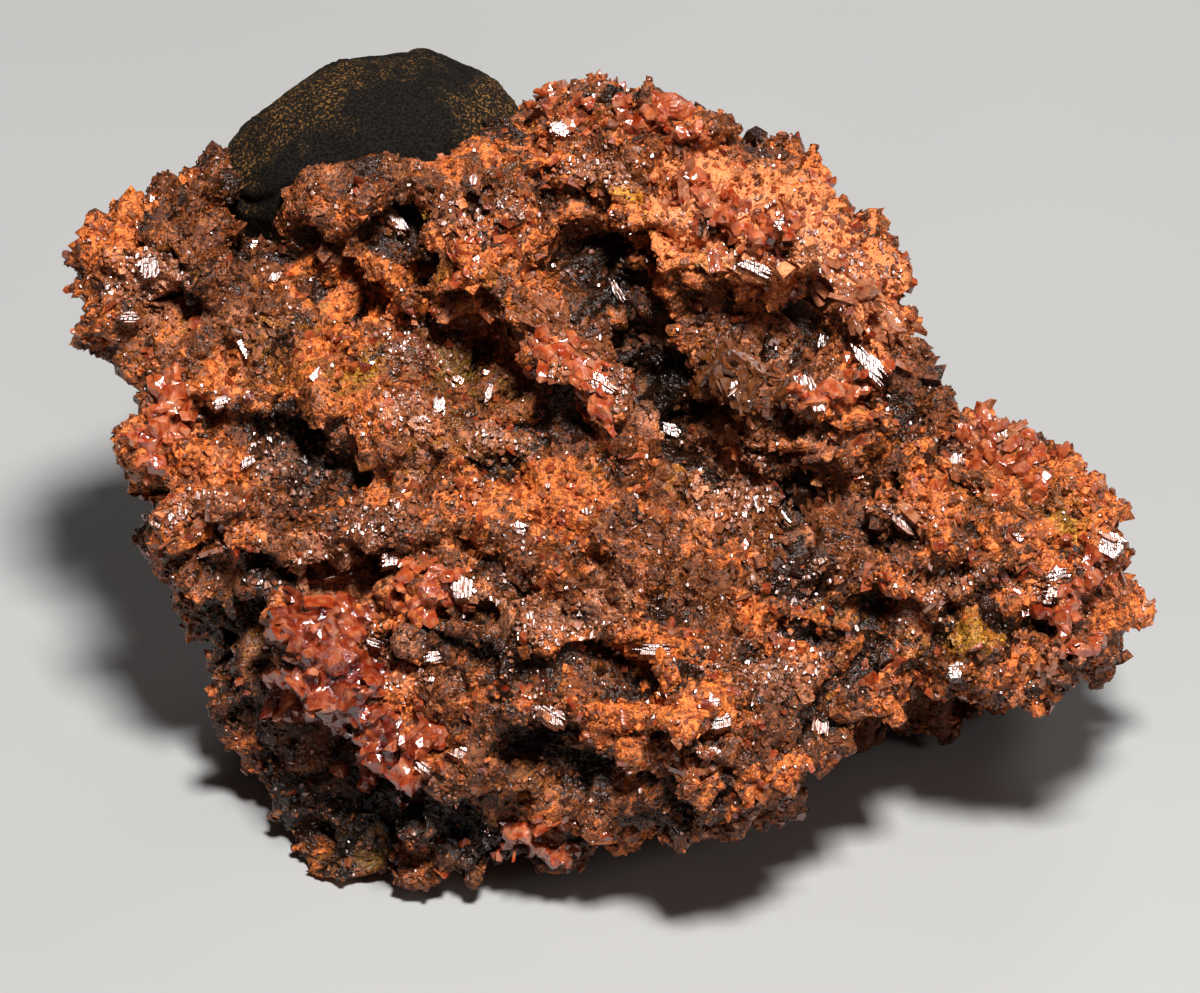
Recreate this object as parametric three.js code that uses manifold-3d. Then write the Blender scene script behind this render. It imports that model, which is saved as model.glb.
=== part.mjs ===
// Crocoite on matrix: a broken lump of brown ironstone (gossan) with a smooth black ironstone nodule
// set in its upper edge and clusters of orange-red crocoite crystals grown in pockets of the rock.
// Millimetres, +Z up. The lump stands on a flat worn patch at z = 0, centred on the origin.
import * as THREE from 'three';
import { ImprovedNoise } from 'three/addons/math/ImprovedNoise.js';
import { mergeVertices } from 'three/addons/utils/BufferGeometryUtils.js';
import Module from 'manifold-3d';

const wasm = await Module();
wasm.setup();

// Driving dimensions
const FACE_LEAN = THREE.MathUtils.degToRad(35); // the broad broken face leans back this far
const FACE_RISE = 12.2; // height of the face's middle above the ground
const FRONT_SWELL = 3.6; // how far the face bulges out of its rim
const BACK_DEPTH = 14.5; // how deep the lump runs behind its rim
const SQUARENESS = 0.55; // 1 is an ellipsoid, smaller is boxier
const MEAN_RADIUS = 15; // of the rim
const PROFILE_STEPS = 240;
const RIM_STEPS = 720;
const FACE_FINENESS = 1.7; // how much smaller the facets of the face are than those of the back, by area
const RELIEF_FADE = 3; // depth behind the rim at which the face's relief has died out
const BODY_DETAIL = 11; // subdivisions of the body's starting icosahedron
const LUMP_DETAIL = 3;
const SPUR_DETAIL = 1;
const GROWTH_GAP = 0.3; // clearance between a piece and the pocket that holds it
const SIGHT_HEIGHT = 80; // how far out of the face a line of sight on to it starts
const UNDERSIDE_SLOPE = 0.2; // how steeply the underside rises from the resting patch
const WELD = 1e-4; // points closer than this are one point
const SWELL_EDGE = 1.5; // how sharply a swelling ends

// The rim of the broad face, clockwise from the left: u to the right, v up the face, w out of it.
const RIM = [
  [-16.6, 3.6, -1.5], [-17.3, 6.1, -2.0], [-16.6, 8.7, -2.5], [-14.9, 9.4, -5.0],
  [-12.8, 9.0, -7.5], [-10.6, 11.6, -5.0], [-7.0, 12.5, -4.5], [-3.7, 13.0, -5.0],
  [-1.5, 14.2, -5.0], [1.8, 14.3, -4.5], [5.1, 12.7, -4.0], [7.3, 12.5, -3.5],
  [9.1, 10.7, -3.0], [10.4, 8.9, -2.5], [11.3, 6.7, -2.0], [12.6, 4.3, -2.0],
  [13.3, 2.8, -2.0], [14.8, 1.8, -2.0], [16.6, 1.5, -1.5], [18.3, -0.5, -1.5],
  [19.4, -2.3, -1.0], [20.0, -4.5, -1.0], [18.6, -6.5, -0.5], [16.8, -7.6, 0.0],
  [13.1, -7.1, 0.5], [10.2, -7.6, 1.0], [8.6, -8.5, 1.5], [7.8, -10.2, 3.0],
  [6.7, -11.8, 3.5], [3.8, -11.6, 3.5], [2.3, -12.6, 1.0], [-1.5, -13.6, 0.0],
  [-4.8, -14.5, -0.5], [-7.8, -15.3, -0.5], [-10.2, -14.2, -1.0], [-12.2, -11.7, -1.5],
  [-13.6, -9.3, -1.5], [-14.2, -5.6, -1.5], [-16.0, -2.5, -1.5], [-17.0, -0.1, -1.5],
  [-16.9, 2.1, -1.5],
];

// Swellings (positive rise) and hollows (negative rise) of the face. Turn is counter-clockwise, in degrees.
const SWELLINGS = [
  { at: [0.4, -7.4], radii: [8.2, 4.4], turn: -12, rise: 3.4 }, // the front bulge over the undercut
  { at: [6.4, 9.4], radii: [5.6, 3.2], turn: -22, rise: 2.6 }, // upper right shoulder
  { at: [15.4, -3.2], radii: [4.2, 3.6], turn: -10, rise: 1.6 }, // right lobe
  { at: [-4.6, 8.6], radii: [3.4, 2.0], turn: 20, rise: 0.8 }, // below the nodule
  { at: [-14.6, -0.6], radii: [2.4, 2.0], turn: 0, rise: 1.4 }, // left edge lump
  { at: [-11.6, 1.4], radii: [2.6, 1.2], turn: -20, rise: -1.6 }, // dark hollow on the left
  { at: [-11.6, 6.2], radii: [1.5, 2.4], turn: 20, rise: -1.4 }, // hollow inside the left knob
  { at: [-10.8, -10.2], radii: [5.6, 3.6], turn: -62, rise: -2.8 }, // lower left wall falls away
  { at: [-4.4, 5.4], radii: [3.0, 1.5], turn: -18, rise: -2.0 }, // ochre hollow
  { at: [-6.9, 9.6], radii: [1.3, 1.0], turn: 0, rise: -2.2 }, // small cavity below the nodule
  { at: [5.6, 1.4], radii: [5.2, 2.6], turn: -36, rise: -2.6 }, // dark hollow under the shoulder
  { at: [11.0, 2.0], radii: [2.2, 1.4], turn: -40, rise: 1.0 },
  { at: [-9.8, -3.6], radii: [2.4, 0.9], turn: 14, rise: -1.5 }, // gap under the grey ledge
  { at: [9.4, -5.4], radii: [2.0, 1.6], turn: 0, rise: -1.2 }, // notch between bulge and right lobe
];

// Creases (negative rise) and ridges (positive rise) that run along the face.
const CREASES = [
  { run: [[-1.3, 9.8], [0.2, 7.4], [1.6, 5.4], [2.4, 3.2], [4.2, 1.6], [6.2, 0.4]], width: 1.3, rise: -3.2 },
  { run: [[2.0, 6.6], [5.0, 6.2], [8.0, 6.0]], width: 1.1, rise: -2.2 },
  { run: [[-5.0, 9.6], [-3.0, 7.0], [-0.8, 4.4], [1.2, 2.4]], width: 1.1, rise: 1.9 },
  { run: [[-12.2, -2.6], [-7.6, -1.6], [-4.8, -1.0]], width: 0.8, rise: 1.1 },
  { run: [[-6.8, -5.4], [-2.0, -6.2], [3.0, -5.2]], width: 0.7, rise: -1.2 },
  { run: [[-10.8, -4.6], [-9.0, -7.4], [-6.6, -10.0]], width: 0.9, rise: 1.4 },
  { run: [[-18.4, 6.2], [-15.6, 6.0], [-13.2, 5.0]], width: 0.7, rise: -1.4 },
  { run: [[-10.4, 10.4], [-8.4, 11.4], [-6.4, 11.7], [-3.2, 12.4]], width: 1.2, rise: 1.6 },
];

// Rounded masses joined to the body. Places and radii along u, v, w.
const LUMPS = [
  { at: [-16.4, 8.4, -3.2], radii: [3.4, 2.9, 3.6], turn: 25, seed: 11 }, // knob at the upper left
  { at: [-17.5, 5.8, -3.2], radii: [2.0, 1.1, 2.2], turn: 0, seed: 12, detail: SPUR_DETAIL },
  { at: [-14.4, 11.6, -5.0], radii: [1.4, 1.1, 1.6], turn: 0, seed: 13, detail: SPUR_DETAIL },
  { at: [1.0, 13.4, -9.5], radii: [4.6, 1.7, 3.4], turn: -8, seed: 14 }, // ridge along the back edge
  { at: [4.4, 12.6, -9.2], radii: [1.8, 1.3, 2.4], turn: 0, seed: 15, detail: SPUR_DETAIL },
  { at: [15.6, -3.2, -3.6], radii: [4.2, 4.1, 4.3], turn: 0, seed: 16 }, // right lobe
  { at: [8.0, -6.4, -9.8], radii: [9.2, 4.8, 5.2], turn: 14, seed: 17 }, // foot behind the undercut
  { at: [-8.0, -12.3, -2.6], radii: [3.3, 3.0, 3.4], turn: 0, seed: 18 }, // lower left toe
];

// Flat fracture faces that trim the hidden back: outward direction in u, v, w and distance from the middle.
const FRACTURES = [
  { facing: [0.25, 0.3, -0.92], distance: 13.2 },
  { facing: [-0.62, 0.1, -0.78], distance: 14.6 },
  { facing: [0.72, 0.25, -0.65], distance: 14.2 },
  { facing: [-0.1, 0.82, -0.56], distance: 14.8 },
];
const FRACTURE_KEEP = 0.12; // share of the relief that survives on a fracture face

// The worn patch that the lump stands on, counter-clockwise on the ground. Three corners never rock.
const RESTING_PATCH = [[-9.5, -6.0], [13.8, 5.3], [-7.0, 8.4]];

// Rough chips that the rock breaks into: size of a chip and how far it stands out.
const CHIPS = [
  { size: 4.6, rise: 0.95, salt: 3 },
  { size: 2.3, rise: 0.6, salt: 7 },
];

const SEED_STRIDE = 9.7; // how far apart in the chip pattern two lumps are taken
const LUMP_CHIPS = [
  { size: 2.6, rise: 1.0, salt: 5 },
  { size: 1.5, rise: 0.5, salt: 9 },
];

// The black nodule: an egg lying along the upper left edge, smoother than the rock around it.
const NODULE = {
  at: [-8.4, 12.2, -7.2], radii: [5.8, 4.0, 4.8], turn: 18, detail: 4, unevenness: 0.5, waviness: 0.45,
};

// Crocoite clusters: crystals spread along a run on the surface, seen along the face normal.
// Lean is the direction that the crystals favour.
const CLUSTERS = [
  { name: 'crocoite_front_ledge', run: [[-10.6, -4.9], [-9.2, -7.2], [-6.8, -9.8]], count: 10,
    length: [2.4, 3.8], width: [1.1, 1.7], lean: [-0.5, 0.1, 0.6], seed: 21 },
  { name: 'crocoite_left_edge', run: [[-15.6, 3.7], [-16.3, 2.0]], count: 5,
    length: [1.4, 2.1], width: [0.8, 1.2], lean: [-0.3, 0.2, 0.8], seed: 22 },
  { name: 'crocoite_right_shoulder', run: [[13.4, 2.3], [15.0, 1.5], [16.4, 1.1]], count: 7,
    length: [1.4, 2.2], width: [0.7, 1.1], lean: [0.3, 0.6, 0.3], seed: 23 },
  { name: 'crocoite_upper_blades', run: [[3.6, 10.8], [5.4, 9.6], [7.4, 9.6]], count: 7,
    length: [1.8, 3.0], width: [0.5, 0.9], lean: [0.1, 0.3, 0.7], seed: 24 },
  { name: 'crocoite_right_end', run: [[18.2, -2.2], [16.8, -3.6], [17.0, -6.0]], count: 7,
    length: [1.4, 2.4], width: [0.7, 1.1], lean: [0.4, 0.0, 0.6], seed: 25 },
  { name: 'crocoite_middle_ridge', run: [[-1.8, 5.4], [-0.5, 4.2], [0.6, 3.2]], count: 6,
    length: [1.6, 2.6], width: [0.6, 1.0], lean: [0.2, -0.3, 0.7], seed: 26 },
  { name: 'crocoite_hollow_blades', run: [[7.0, 4.2], [8.4, 3.4], [10.2, 4.8]], count: 6,
    length: [1.5, 2.4], width: [0.5, 0.9], lean: [0.2, 0.1, 0.8], seed: 27 },
  { name: 'crocoite_back_ridge', run: [[-1.8, 14.2], [1.0, 14.4], [4.0, 13.4]], count: 6,
    length: [1.1, 1.8], width: [0.8, 1.2], lean: [0.1, 0.5, 0.6], seed: 28 },
  { name: 'crocoite_lower_lip', run: [[-4.0, -12.3], [-1.6, -12.9]], count: 5,
    length: [1.4, 2.4], width: [0.7, 1.1], lean: [0.0, -0.5, 0.5], seed: 29 },
  { name: 'crocoite_middle_knot', run: [[-6.9, -3.4], [-5.2, -3.6]], count: 5,
    length: [1.5, 2.3], width: [0.8, 1.2], lean: [0.0, 0.3, 0.7], seed: 30 },
];
const CRYSTAL_SUNK = 0.2; // share of a crystal's length that is below the surface
const OUTWARD_PULL = 0.4; // how much a crystal heeds the slope of the rock under it
const CRYSTAL_SPREAD = 1.3; // how widely the crystals of a cluster point
const CRYSTAL_BASAL_TILT = 0.55; // slope of a crystal's end face
const CRYSTAL_FLATNESS = 0.7; // thickness against width of a crystal's section
const EDGE_DRAW_IN = 0.97; // step by which a crystal past the edge is drawn in
const ROOT_REACH = 0.8; // thickness of a cluster's massive root against its widest crystal

const MATERIALS = {
  matrix: new THREE.MeshStandardMaterial({ color: 0x6e4029, roughness: 0.85, metalness: 0 }),
  nodule: new THREE.MeshStandardMaterial({ color: 0x2c2620, roughness: 0.8, metalness: 0 }),
  crocoite: new THREE.MeshStandardMaterial({ color: 0xc4501f, roughness: 0.25, metalness: 0 }),
};

const perlin = new ImprovedNoise();

// A repeatable random number from 0 to 1 for each whole-number place and salt.
function hash(i, j, k, salt) {
  const wave = Math.sin(i * 127.1 + j * 311.7 + k * 74.7 + salt * 53.3) * 43758.5453;
  return wave - Math.floor(wave);
}

// A repeatable stream of random numbers from 0 to 1.
function dice(seed) {
  let roll = 0;
  return () => hash(seed, ++roll, 5, 1);
}

const between = ([low, high], share) => low + (high - low) * share;

// Height of the rock chip under a point: each chip is a tilted flat around a random seed point.
function chipHeight(point, { size, rise, salt }) {
  const cell = point.clone().divideScalar(size);
  const [ci, cj, ck] = [Math.floor(cell.x), Math.floor(cell.y), Math.floor(cell.z)];
  let nearest = Infinity;
  let height = 0;
  for (let i = ci - 1; i <= ci + 1; i++)
    for (let j = cj - 1; j <= cj + 1; j++)
      for (let k = ck - 1; k <= ck + 1; k++) {
        const seed = new THREE.Vector3(
          i + hash(i, j, k, salt), j + hash(i, j, k, salt + 1), k + hash(i, j, k, salt + 2));
        const offset = cell.clone().sub(seed);
        if (offset.lengthSq() >= nearest) continue;
        nearest = offset.lengthSq();
        const tilt = new THREE.Vector3(
          hash(i, j, k, salt + 3), hash(i, j, k, salt + 4), hash(i, j, k, salt + 5)).subScalar(0.5);
        height = rise * (hash(i, j, k, salt + 6) - 0.5 + 2 * tilt.dot(offset));
      }
  return height;
}

const roughness = (point, chips) => chips.reduce((sum, chip) => sum + chipHeight(point, chip), 0);

// The rim as radius and depth against the angle around the middle of the face.
const rimCurve = new THREE.CatmullRomCurve3(RIM.map((p) => new THREE.Vector3(...p)), true);
const rimSamples = rimCurve.getSpacedPoints(RIM_STEPS)
  .map((p) => ({ angle: Math.atan2(p.y, p.x), radius: Math.hypot(p.x, p.y), depth: p.z }))
  .sort((a, b) => a.angle - b.angle);

function rimAt(angle) {
  const found = rimSamples.findIndex((s) => s.angle >= angle);
  return rimSamples[found < 0 ? 0 : found];
}

// How far a swelling or a crease lifts the face at (u, v).
function swellingRise(u, v, { at, radii, turn, rise }) {
  const angle = THREE.MathUtils.degToRad(turn);
  const [du, dv] = [u - at[0], v - at[1]];
  const along = (du * Math.cos(angle) + dv * Math.sin(angle)) / radii[0];
  const across = (dv * Math.cos(angle) - du * Math.sin(angle)) / radii[1];
  return rise * Math.exp(-((along ** 2 + across ** 2) ** SWELL_EDGE));
}

function creaseRise(u, v, { run, width, rise }) {
  const here = new THREE.Vector3(u, v, 0);
  const closest = new THREE.Vector3();
  let distance = Infinity;
  for (let i = 1; i < run.length; i++) {
    const piece = new THREE.Line3(new THREE.Vector3(...run[i - 1], 0), new THREE.Vector3(...run[i], 0));
    distance = Math.min(distance, piece.closestPointToPoint(here, true, closest).distanceTo(here));
  }
  return rise * Math.exp(-((distance / width) ** 2));
}

const faceRelief = (u, v) =>
  SWELLINGS.reduce((sum, s) => sum + swellingRise(u, v, s), 0) +
  CREASES.reduce((sum, c) => sum + creaseRise(u, v, c), 0);

// Face frame to the part's own frame: the face leans back and its middle stands above the ground.
const standUp = new THREE.Matrix4()
  .makeTranslation(0, 0, FACE_RISE)
  .multiply(new THREE.Matrix4().makeRotationX(Math.PI / 2 - FACE_LEAN));

// Geometry to and from solids
function solidFrom(geometry) {
  const bare = geometry.clone().deleteAttribute('normal').deleteAttribute('uv');
  const merged = mergeVertices(bare, WELD);
  return new wasm.Manifold(new wasm.Mesh({
    numProp: 3,
    vertProperties: new Float32Array(merged.attributes.position.array),
    triVerts: new Uint32Array(merged.index.array),
  }));
}

function geometryFrom(solid) {
  const mesh = solid.getMesh();
  return new THREE.BufferGeometry()
    .setAttribute('position', new THREE.BufferAttribute(new Float32Array(mesh.vertProperties), 3))
    .setIndex(new THREE.BufferAttribute(new Uint32Array(mesh.triVerts), 1));
}

// Moves every vertex of a geometry by a function of its place.
function shaped(geometry, move) {
  const place = geometry.attributes.position;
  const point = new THREE.Vector3();
  for (let i = 0; i < place.count; i++) {
    point.fromBufferAttribute(place, i);
    move(point);
    place.setXYZ(i, point.x, point.y, point.z);
  }
  return geometry;
}

// The lump's profile from the middle of the face over the rim to the middle of the back: share of the rim's
// radius, and swell in front of the rim or depth behind it. It is walked by area, so that the facets of the
// face come out alike, and so do those of the back.
const profile = Array.from({ length: PROFILE_STEPS + 1 }, (_, i) => {
  const rise = Math.cos((i / PROFILE_STEPS) * Math.PI);
  return {
    side: Math.sqrt(Math.max(0, 1 - rise * rise)) ** SQUARENESS,
    swell: Math.abs(rise) ** SQUARENESS * (rise > 0 ? FRONT_SWELL : -BACK_DEPTH),
    area: 0,
  };
});
profile.slice(1).forEach((here, i) => {
  const before = profile[i];
  const slant = Math.hypot((here.side - before.side) * MEAN_RADIUS, here.swell - before.swell);
  const fineness = here.swell > 0 ? FACE_FINENESS : 1;
  here.area = before.area + (fineness * slant * (here.side + before.side)) / 2;
});

function profileAt(share) {
  const wanted = share * profile.at(-1).area;
  const next = Math.max(1, profile.findIndex(({ area }) => area >= wanted));
  const [before, here] = [profile[next - 1], profile[next]];
  const part = (wanted - before.area) / (here.area - before.area);
  return {
    side: THREE.MathUtils.lerp(before.side, here.side, part),
    swell: THREE.MathUtils.lerp(before.swell, here.swell, part),
  };
}

// The rock body: its rim swept out to the swollen face in front and the fractured back behind.
function bodySolid(clearance = 0) {
  const middle = new THREE.Vector3(0, 0, -BACK_DEPTH / 3);
  const fractures = FRACTURES.map(({ facing, distance }) =>
    ({ out: new THREE.Vector3(...facing).normalize(), distance }));
  return solidFrom(shaped(new THREE.IcosahedronGeometry(1, BODY_DETAIL), (p) => {
    const angle = Math.atan2(p.y, p.x);
    const rim = rimAt(angle);
    const { side, swell } = profileAt((1 - p.z) / 2);
    const frontness = THREE.MathUtils.smoothstep(swell, -RELIEF_FADE, 0);
    const reach = rim.radius * side;
    p.set(Math.cos(angle) * reach, Math.sin(angle) * reach, rim.depth * side + swell);
    p.z += faceRelief(p.x, p.y) * frontness;
    for (const { out, distance } of fractures) {
      const past = p.dot(out) - distance;
      if (past > 0) p.addScaledVector(out, -past * (1 - FRACTURE_KEEP));
    }
    p.addScaledVector(p.clone().sub(middle).normalize(), roughness(p, CHIPS) + clearance);
    p.applyMatrix4(standUp);
  }));
}

// A rounded mass with a chipped surface, grown by a clearance where it cuts its own pocket.
function lumpSolid({ at, radii, turn, seed = 0, detail = LUMP_DETAIL }, surface, clearance = 0) {
  const spin = new THREE.Matrix4().makeRotationZ(THREE.MathUtils.degToRad(turn));
  return solidFrom(shaped(new THREE.IcosahedronGeometry(1, detail), (p) => {
    const out = p.clone();
    p.multiply(new THREE.Vector3(...radii)).addScaledVector(out, surface(p, seed) + clearance);
    p.applyMatrix4(spin).add(new THREE.Vector3(...at)).applyMatrix4(standUp);
  }));
}

const chipped = (p, seed) => roughness(p.clone().addScalar(seed * SEED_STRIDE), LUMP_CHIPS);
const smooth = ({ x, y, z }) =>
  NODULE.unevenness * perlin.noise(x * NODULE.waviness, y * NODULE.waviness, z * NODULE.waviness);

// A crocoite crystal: a four-sided prism with a sloping end face.
function crystalSolid({ foot, axis, length, width, turn }) {
  const prism = new THREE.CylinderGeometry(0.5, 0.5, 1, 4, 1).rotateX(Math.PI / 2);
  shaped(prism, (p) => {
    p.z += p.z > 0 ? CRYSTAL_BASAL_TILT * p.x * (width / length) : 0;
    p.multiply(new THREE.Vector3(width, width * CRYSTAL_FLATNESS, length));
  });
  const stand = new THREE.Quaternion().setFromUnitVectors(new THREE.Vector3(0, 0, 1), axis);
  const middle = foot.clone().addScaledVector(axis, length * (0.5 - CRYSTAL_SUNK));
  return solidFrom(prism.rotateZ(turn).applyQuaternion(stand).translate(...middle.toArray()));
}

// Where a line along the face normal at (u, v) first meets the rock, and the rock's outward direction there.
// A place past the rock's edge is drawn in towards the middle until the line meets rock.
const inward = new THREE.Vector3(0, 0, -1).transformDirection(standUp);
function surfaceAt(rock, u, v) {
  const above = new THREE.Vector3(u, v, SIGHT_HEIGHT).applyMatrix4(standUp);
  const [hit] = new THREE.Raycaster(above, inward).intersectObject(rock);
  if (!hit) return surfaceAt(rock, u * EDGE_DRAW_IN, v * EDGE_DRAW_IN);
  return { point: hit.point, out: hit.face.normal };
}

// The stretches of massive crocoite that a cluster grows from, laid on the rock along its run.
function stretchesOf({ run, width }, rock) {
  const knots = run.map(([u, v]) => surfaceAt(rock, u, v));
  return knots.slice(1).map((to, i) => ({
    line: new THREE.Line3(knots[i].point, to.point),
    out: knots[i].out.clone().add(to.out).normalize(),
    reach: between(width, 1) * ROOT_REACH,
  }));
}

// A rounded bar of massive crocoite, grown by a clearance where it cuts its own pocket.
function rootSolid({ line, reach }, clearance = 0) {
  const girth = reach + clearance;
  const along = line.delta(new THREE.Vector3()).normalize();
  const bar = new THREE.IcosahedronGeometry(1, 0).scale(girth, girth, line.distance() / 2 + girth);
  bar.applyQuaternion(new THREE.Quaternion().setFromUnitVectors(new THREE.Vector3(0, 0, 1), along));
  return solidFrom(bar.translate(...line.getCenter(new THREE.Vector3()).toArray()));
}

// The crystals of one cluster, spread along its stretches and leaning its way.
function crystalsOf({ count, length, width, lean, seed }, stretches) {
  const roll = dice(seed);
  const scatter = () => new THREE.Vector3(roll() - 0.5, roll() - 0.5, roll() - 0.5);
  const favoured = new THREE.Vector3(...lean).transformDirection(standUp);
  return Array.from({ length: count }, (_, i) => {
    const place = ((i + 0.5) / count) * stretches.length;
    const { line, out, reach } = stretches[Math.floor(place)];
    return {
      foot: line.at(place % 1, new THREE.Vector3()).addScaledVector(scatter(), reach),
      axis: favoured.clone()
        .addScaledVector(out, OUTWARD_PULL)
        .addScaledVector(scatter(), CRYSTAL_SPREAD)
        .normalize(),
      length: between(length, roll()),
      width: between(width, roll()),
      turn: roll() * Math.PI,
    };
  });
}

const join = (solids) => solids.reduce((whole, solid) => whole.add(solid));

// The main body of a cut solid, without the crumbs that a cut leaves.
const mainBody = (solid) =>
  solid.decompose().reduce((main, body) => (body.volume() > main.volume() ? body : main));

// Cuts the resting patch, and the underside that rises away from each of its edges.
function groundCut(solid) {
  const corners = RESTING_PATCH.map(([x, y]) => new THREE.Vector3(x, y, 0));
  return corners.reduce((cut, corner, i) => {
    const along = corners[(i + 1) % corners.length].clone().sub(corner).normalize();
    const up = new THREE.Vector3(-along.y * UNDERSIDE_SLOPE, along.x * UNDERSIDE_SLOPE, 1).normalize();
    return cut.trimByPlane(up.toArray(), up.dot(corner));
  }, solid.trimByPlane([0, 0, 1], 0));
}

// Assembly
const rockSolid = (clearance = 0) =>
  join([bodySolid(clearance), ...LUMPS.map((lump) => lumpSolid(lump, chipped, clearance))]);

const nodule = lumpSolid(NODULE, smooth);
let matrix = groundCut(rockSolid()).subtract(lumpSolid(NODULE, smooth, GROWTH_GAP));
const rockFace = new THREE.Mesh(geometryFrom(matrix));
const rockSkin = rockSolid(GROWTH_GAP);
const crocoite = CLUSTERS.map((cluster) => {
  const stretches = stretchesOf(cluster, rockFace);
  const crystals = join(crystalsOf(cluster, stretches).map(crystalSolid)).subtract(rockSkin);
  const solid = mainBody(join([...stretches.map((stretch) => rootSolid(stretch)), crystals]));
  matrix = matrix.subtract(join(stretches.map((stretch) => rootSolid(stretch, GROWTH_GAP))));
  return { name: cluster.name, solid };
});

function piece(name, solid, material) {
  const mesh = new THREE.Mesh(geometryFrom(solid), material);
  mesh.name = name;
  return mesh;
}

const specimen = new THREE.Group();
specimen.add(piece('matrix', mainBody(matrix), MATERIALS.matrix));
specimen.add(piece('black_nodule', nodule, MATERIALS.nodule));
for (const { name, solid } of crocoite) specimen.add(piece(name, solid, MATERIALS.crocoite));

// The origin is under the middle of the lump.
const box = new THREE.Box3().setFromObject(specimen);
const centre = box.getCenter(new THREE.Vector3());
specimen.position.set(-centre.x, -centre.y, 0);

export default specimen;
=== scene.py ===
import itertools
import math

import bmesh
import bpy
import numpy as np
from mathutils import Matrix, Vector
from mathutils.bvhtree import BVHTree


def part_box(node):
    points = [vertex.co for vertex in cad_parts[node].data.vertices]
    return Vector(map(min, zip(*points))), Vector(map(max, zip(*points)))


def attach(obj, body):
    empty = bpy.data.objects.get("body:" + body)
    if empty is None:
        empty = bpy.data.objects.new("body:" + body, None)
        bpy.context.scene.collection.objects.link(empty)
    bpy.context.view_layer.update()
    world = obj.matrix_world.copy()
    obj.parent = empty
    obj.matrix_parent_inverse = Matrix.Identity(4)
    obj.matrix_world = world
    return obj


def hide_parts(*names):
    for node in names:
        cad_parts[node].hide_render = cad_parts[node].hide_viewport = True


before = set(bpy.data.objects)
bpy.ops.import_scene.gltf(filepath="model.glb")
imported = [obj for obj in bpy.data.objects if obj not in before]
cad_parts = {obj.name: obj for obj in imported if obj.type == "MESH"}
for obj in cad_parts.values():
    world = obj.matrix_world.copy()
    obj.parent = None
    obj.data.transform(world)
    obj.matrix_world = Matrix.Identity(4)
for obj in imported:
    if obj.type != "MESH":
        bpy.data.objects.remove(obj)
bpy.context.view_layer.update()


# Ironstone matrix
# A broken lump of brown iron oxide rock, grainy and full of small hollows. A crust of orange lead chromate
# covers it, with black oxides left in its crevices and ochre yellow stains in its pits. Painted shade also
# darkens its crevices, low places and some patches, and painted light and sheen lighten others.
MM = 0.001
FACE_LEAN = math.radians(35)  # the broad broken face leans back this far
FACE_TURN = Matrix.Rotation(math.pi / 2 - FACE_LEAN, 3, "X")
NODULE_ON_FACE = Vector((-8.4, 12.2, -7.2)) * MM  # to the right, up the face and out of it
FACE_OUT = FACE_TURN @ Vector((0, 0, 1))
nodule_low, nodule_high = (Vector(corner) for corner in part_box("black_nodule"))
FACE_MIDDLE = (nodule_low + nodule_high) / 2 - FACE_TURN @ NODULE_ON_FACE


def on_face(points):
    """Places in the face's own frame, in millimetres: right, up the face and out of it."""
    return (np.asarray(points) - FACE_MIDDLE) @ np.array(FACE_TURN) / MM


def cell_random(cells, salt):
    """A repeatable number from 0 to 1 for each whole-number cell."""
    wave = np.sin(cells @ np.array((127.1, 311.7, 74.7)) + salt * 53.3) * 43758.5453
    return wave - np.floor(wave)


def chips(points, size, salt):
    """Height and tone of the chip of rock at each point: a tilted flat round the nearest random middle."""
    places = points / size
    corner = np.floor(places)
    nearest = np.full(len(points), np.inf)
    height = np.zeros(len(points))
    tone = np.zeros(len(points))
    for step in itertools.product((-1, 0, 1), repeat=3):
        cell = corner + step
        offset = places - cell - np.stack([cell_random(cell, salt + k) for k in range(3)], axis=1)
        distance = (offset ** 2).sum(axis=1)
        tilt = np.stack([cell_random(cell, salt + 3 + k) for k in range(3)], axis=1) - 0.5
        closer = distance < nearest
        nearest = np.where(closer, distance, nearest)
        height = np.where(closer, cell_random(cell, salt + 6) - 0.5 + 2 * (tilt * offset).sum(axis=1), height)
        tone = np.where(closer, cell_random(cell, salt + 7), tone)
    return height, tone


def clouds(points, size, salt):
    """Smooth noise from 0 to 1 with soft blotches of the given size."""
    places = points / size
    corner = np.floor(places)
    part = places - corner
    part = part * part * (3 - 2 * part)
    total = np.zeros(len(points))
    for step in itertools.product((0, 1), repeat=3):
        share = np.prod(np.where(np.array(step), part, 1 - part), axis=1)
        total += share * cell_random(corner + step, salt)
    return total


def smoothstep(values, low, high):
    """A soft step from 0 to 1 between two values."""
    part = np.clip((values - low) / (high - low), 0, 1)
    return part * part * (3 - 2 * part)


# Runs of the crystal clusters on the face, with the reach of the pocket that each grows in.
CLUSTER_RUNS = {
    "crocoite_front_ledge": (((-10.6, -4.9), (-9.2, -7.2), (-6.8, -9.8)), 1.36),
    "crocoite_left_edge": (((-15.6, 3.7), (-16.3, 2.0)), 0.96),
    "crocoite_right_shoulder": (((13.4, 2.3), (15.0, 1.5), (16.4, 1.1)), 0.88),
    "crocoite_upper_blades": (((3.6, 10.8), (5.4, 9.6), (7.4, 9.6)), 0.72),
    "crocoite_right_end": (((18.2, -2.2), (16.8, -3.6), (17.0, -6.0)), 0.88),
    "crocoite_middle_ridge": (((-1.8, 5.4), (-0.5, 4.2), (0.6, 3.2)), 0.8),
    "crocoite_hollow_blades": (((7.0, 4.2), (8.4, 3.4), (10.2, 4.8)), 0.72),
    "crocoite_back_ridge": (((-1.8, 14.2), (1.0, 14.4), (4.0, 13.4)), 0.96),
    "crocoite_lower_lip": (((-4.0, -12.3), (-1.6, -12.9)), 0.88),
    "crocoite_middle_knot": (((-6.9, -3.4), (-5.2, -3.6)), 0.96),
}
RUN_STEPS = 4
POCKET_FILL = 0.35 * MM


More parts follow.
